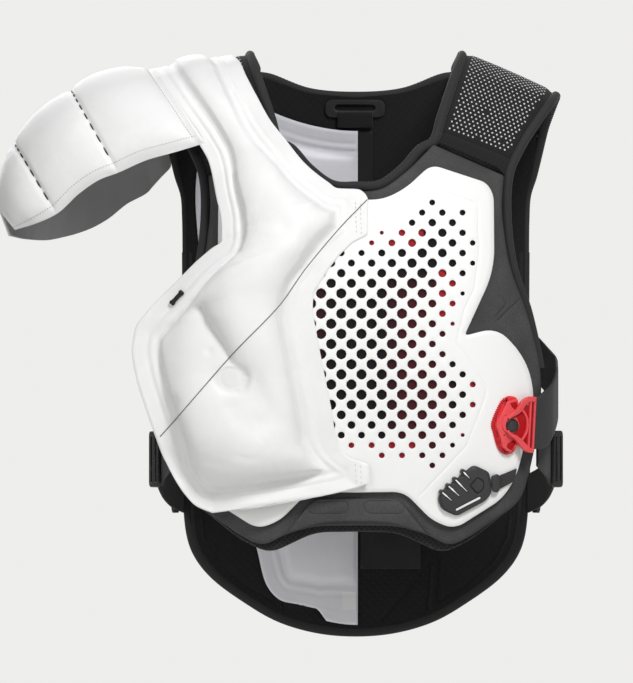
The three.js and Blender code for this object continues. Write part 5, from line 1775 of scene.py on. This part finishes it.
class VEST_OT_webbing(bpy.types.Operator):
    """Side straps, sliders and loops"""

    bl_idname = "vest.webbing"
    bl_label = "Side straps"

    def execute(self, context):
        to_frame, _ = seated_plane(*KNOB_SEAT)
        side = list(SIDE_STRAP)
        for u, height, top, low in STRAP_ENDS:
            x, y, _ = to_frame(np.array([u, 0.0]), height)
            side.append((x, y, top, low))
        outer, inner = "webbing", "webbing_black"
        for name, sign in SIDES:
            for title, node, rows, faces, slot in (
                    ("side_webbing", "side_strap", side, (outer, inner), "webbing_grey"),
                    ("adjuster_webbing", "adjuster_strap", ADJUSTER_STRAP, (outer,), "webbing_grey"),
                    ("lower_webbing", "lower_strap", LOWER_STRAP, (inner,), "cloth_black")):
                self.strap(f"{title}_{name}", f"{node}_{name}", rows, sign, faces, slot)
            softened(f"triglide_{name}", f"slider_{name}", 0.9, "black_gloss", "hard_black")
            softened(f"strap_loop_{name}", f"loop_{name}", 0.8, "black_gloss", "hard_black")
        return {"FINISHED"}

    @staticmethod
    def strap(name, node, rows, sign, faces, slot):
        rows = np.array(rows, float)
        places = steps_along(rows[:, :2])
        wanted = np.linspace(0, places[-1], max(12, int(places[-1] / 2.5)))
        line = eased(places, rows, wanted)
        out = leftward(unit(np.gradient(line[:, :2], axis=0)))
        out = np.where(out[:, :1] < 0, -out, out)
        share = np.linspace(0, 1, 23)
        z = line[:, 2:3] + (line[:, 3:4] - line[:, 2:3]) * share
        width = np.abs(line[:, 2:3] - line[:, 3:4])
        margin = np.minimum(share, 1 - share) * width
        thick = WEBBING_THICK - 0.8 * (1 - smooth(margin, 0, 1.6))
        thick = thick - 0.25 * np.exp(-((margin - 3.4) / 0.6) ** 2)
        base = np.stack([line[:, :1] + 0 * z, line[:, 1:2] + 0 * z, z], axis=-1)
        shift = np.stack([out[:, :1] * thick, out[:, 1:2] * thick, 0 * z], axis=-1)
        lower, upper = base * [sign, 1, 1], (base + shift) * [sign, 1, 1]
        mesh = slab(name, upper, lower, grid_uv(base))
        index = np.zeros(len(mesh.polygons), np.int32)
        index[(len(line) - 1) * (len(share) - 1):] = len(faces) - 1
        mesh.polygons.foreach_set("material_index", index)
        piece(name, mesh, faces, node, slot)


class VEST_OT_unit(bpy.types.Operator):
    """Status unit with its button, light guides and lead"""

    bl_idname = "vest.unit"
    bl_label = "Status unit"

    def execute(self, context):
        to_frame, seen = seated_plane(*UNIT_SEAT)
        # gap is the near-black recess finish, painted shade in the grooves round the light slots, the button
        # and the light bar
        hard, gap, white = "black", "recess", "guide"
        parts = Mouldings(to_frame)
        body = rounded(MODULE_OUTLINE, 0.8)
        parts.add(body, 0.0, 3.2, 1.1, hard, 3)
        parts.add(body + (body.mean(0) - body) * 0.07, 3.0, 5.0, 1.1, hard, 3)
        slots = [seen(slot, UNIT_FACE) for slot in LIGHT_SLOTS]
        for near, far in slots:
            lead = unit(far - near)
            parts.add(capsule(*near, *(near + 3 * lead), 2.3), 0.6, 5.3, 0.9, hard, 3)
            parts.add(ribbon(near - lead, far, GROOVE_HALVES), 4.9, 5.36, 0.1, gap, 1)
            parts.add(ring(*far, 1.0, 12), 4.9, 5.36, 0.1, gap, 1)
        groove = rounded([(u, v, 2.0) for u, v in seen(BUTTON, UNIT_FACE)], 0.6)
        parts.add(groove + (groove - groove.mean(0)) * 0.06, 4.8, 5.14, 0.05, gap, 1)
        bar = seen(LIGHT_BAR, UNIT_FACE).ravel()
        parts.add(capsule(*bar, 1.5), 4.8, 5.12, 0.05, gap, 1)
        parts.done("unit_housing", "module_body", "hard_black")
        button = groove + (groove.mean(0) - groove) * 0.14
        raised = [("unit_button", "module_button", button, 6.2, 0.6, hard, "hard_black")]
        for k, (near, far) in enumerate(slots, 1):
            guide = ribbon(near, far, GUIDE_HALVES)
            raised.append((f"unit_light_{k}", f"light_guide_{k}", guide, 5.8, 0.2, white, "light_guide"))
        raised.append(("unit_light_bar", "light_bar", capsule(*bar, 0.9), 6.2, 0.45, white, "light_guide"))
        for name, node, edge, high, ease, look, slot in raised:
            piece(name, moulding(name, edge, 5.0, high, ease, to_frame, 3), [look], node, slot)
        near = PLATE_FAR + 0.3
        layer(
            "unit_lead_clip", "lead_clip", "black", "hard_black",
            rounded([(x, z, 2.2) for x, z in LEAD_CLIP], 0.8),
            near, PLATE_FAR + 5.4, FRONT, 2.0, 1.4, rings=(0.4, 0.9, 1.5))
        layer(
            "unit_lead_tape", "lead_strap", "webbing", "webbing_grey",
            rounded([(x, z, 1.0) for x, z in LEAD_TAPE], 0.8),
            near, PLATE_FAR + 2.6, FRONT, 2.0, 0.9, rings=(0.4, 0.9))
        return {"FINISHED"}


class VEST_OT_stage(bpy.types.Operator):
    """Pale floor, soft studio light and the camera"""

    bl_idname = "vest.stage"
    bl_label = "Stage"

    def execute(self, context):
        scene = context.scene
        scene.view_settings.view_transform = "Standard"
        scene.view_settings.look = "None"
        floor = bpy.data.meshes.new("studio_floor")
        edge = ring(0, 0, FLOOR_RADIUS, 96)
        floor.from_pydata([(x, y, FLOOR_LEVEL) for x, y in edge], [], [tuple(range(96))])
        obj = linked("studio_floor", floor)
        paper = Look("matt_paper_pale", "#DADAD7", 0.9)
        floor.materials.append(paper.finished(0.05, 0.0002, paper.noise(paper.place(), 2.5)))
        world = bpy.data.worlds.new("studio_air")
        scene.world = world
        world.use_nodes = True
        tree = world.node_tree
        tree.nodes.clear()
        seen = put(tree, "ShaderNodeLightPath")
        level = put(tree, "ShaderNodeMapRange", {0: seen.outputs["Is Camera Ray"], 3: 0.2})
        air = put(tree, "ShaderNodeBackground", {
            "Color": [*tint("#EEEEEC"), 1], "Strength": level.outputs[0]})
        put(tree, "ShaderNodeOutputWorld", {0: air.outputs[0]})
        for name, (at, aim, size, watts) in LAMPS.items():
            data = bpy.data.lights.new(name, "AREA")
            data.shape, data.size, data.energy = "DISK", size, watts
            lamp = linked(name, data)
            lamp.location = at
            lamp.rotation_euler = (Vector(aim) - Vector(at)).to_track_quat("-Z", "Y").to_euler()
        camera = bpy.data.cameras.new("camera")
        camera.sensor_width = SENSOR
        camera.lens = SENSOR * VIEW_DISTANCE / VIEW_WIDTH
        camera.clip_end = 100
        view = linked("camera", camera)
        view.location = VIEW_PLACE
        view.rotation_euler = (math.pi / 2, 0, 0)
        scene.camera = view
        return {"FINISHED"}


class VEST_PT_sidebar(bpy.types.Panel):
    bl_idname = "VEST_PT_sidebar"
    bl_label = "Airbag vest"
    bl_space_type = "VIEW_3D"
    bl_region_type = "UI"
    bl_category = "Vest"

    def draw(self, context):
        for group in (context.scene.vest_sizes, context.scene.vest_colours):
            for key in group.__annotations__:
                self.layout.prop(group, key)
        for step in STEPS:
            self.layout.operator(step.bl_idname)


STEPS = (
    VEST_OT_stage, VEST_OT_front, VEST_OT_back, VEST_OT_straps, VEST_OT_edging, VEST_OT_airbag, VEST_OT_cap,
    VEST_OT_closure, VEST_OT_webbing, VEST_OT_unit,
)


def register():
    for each in (VestColours, VestSizes, *STEPS, VEST_PT_sidebar):
        bpy.utils.register_class(each)
    bpy.types.Scene.vest_colours = bpy.props.PointerProperty(type=VestColours)
    bpy.types.Scene.vest_sizes = bpy.props.PointerProperty(type=VestSizes)


def unregister():
    del bpy.types.Scene.vest_sizes
    del bpy.types.Scene.vest_colours
    for each in reversed((VestColours, VestSizes, *STEPS, VEST_PT_sidebar)):
        bpy.utils.unregister_class(each)


def main():
    register()
    for step in STEPS:
        group, name = step.bl_idname.split(".")
        getattr(getattr(bpy.ops, group), name)()


if __name__ == "__main__":
    main()
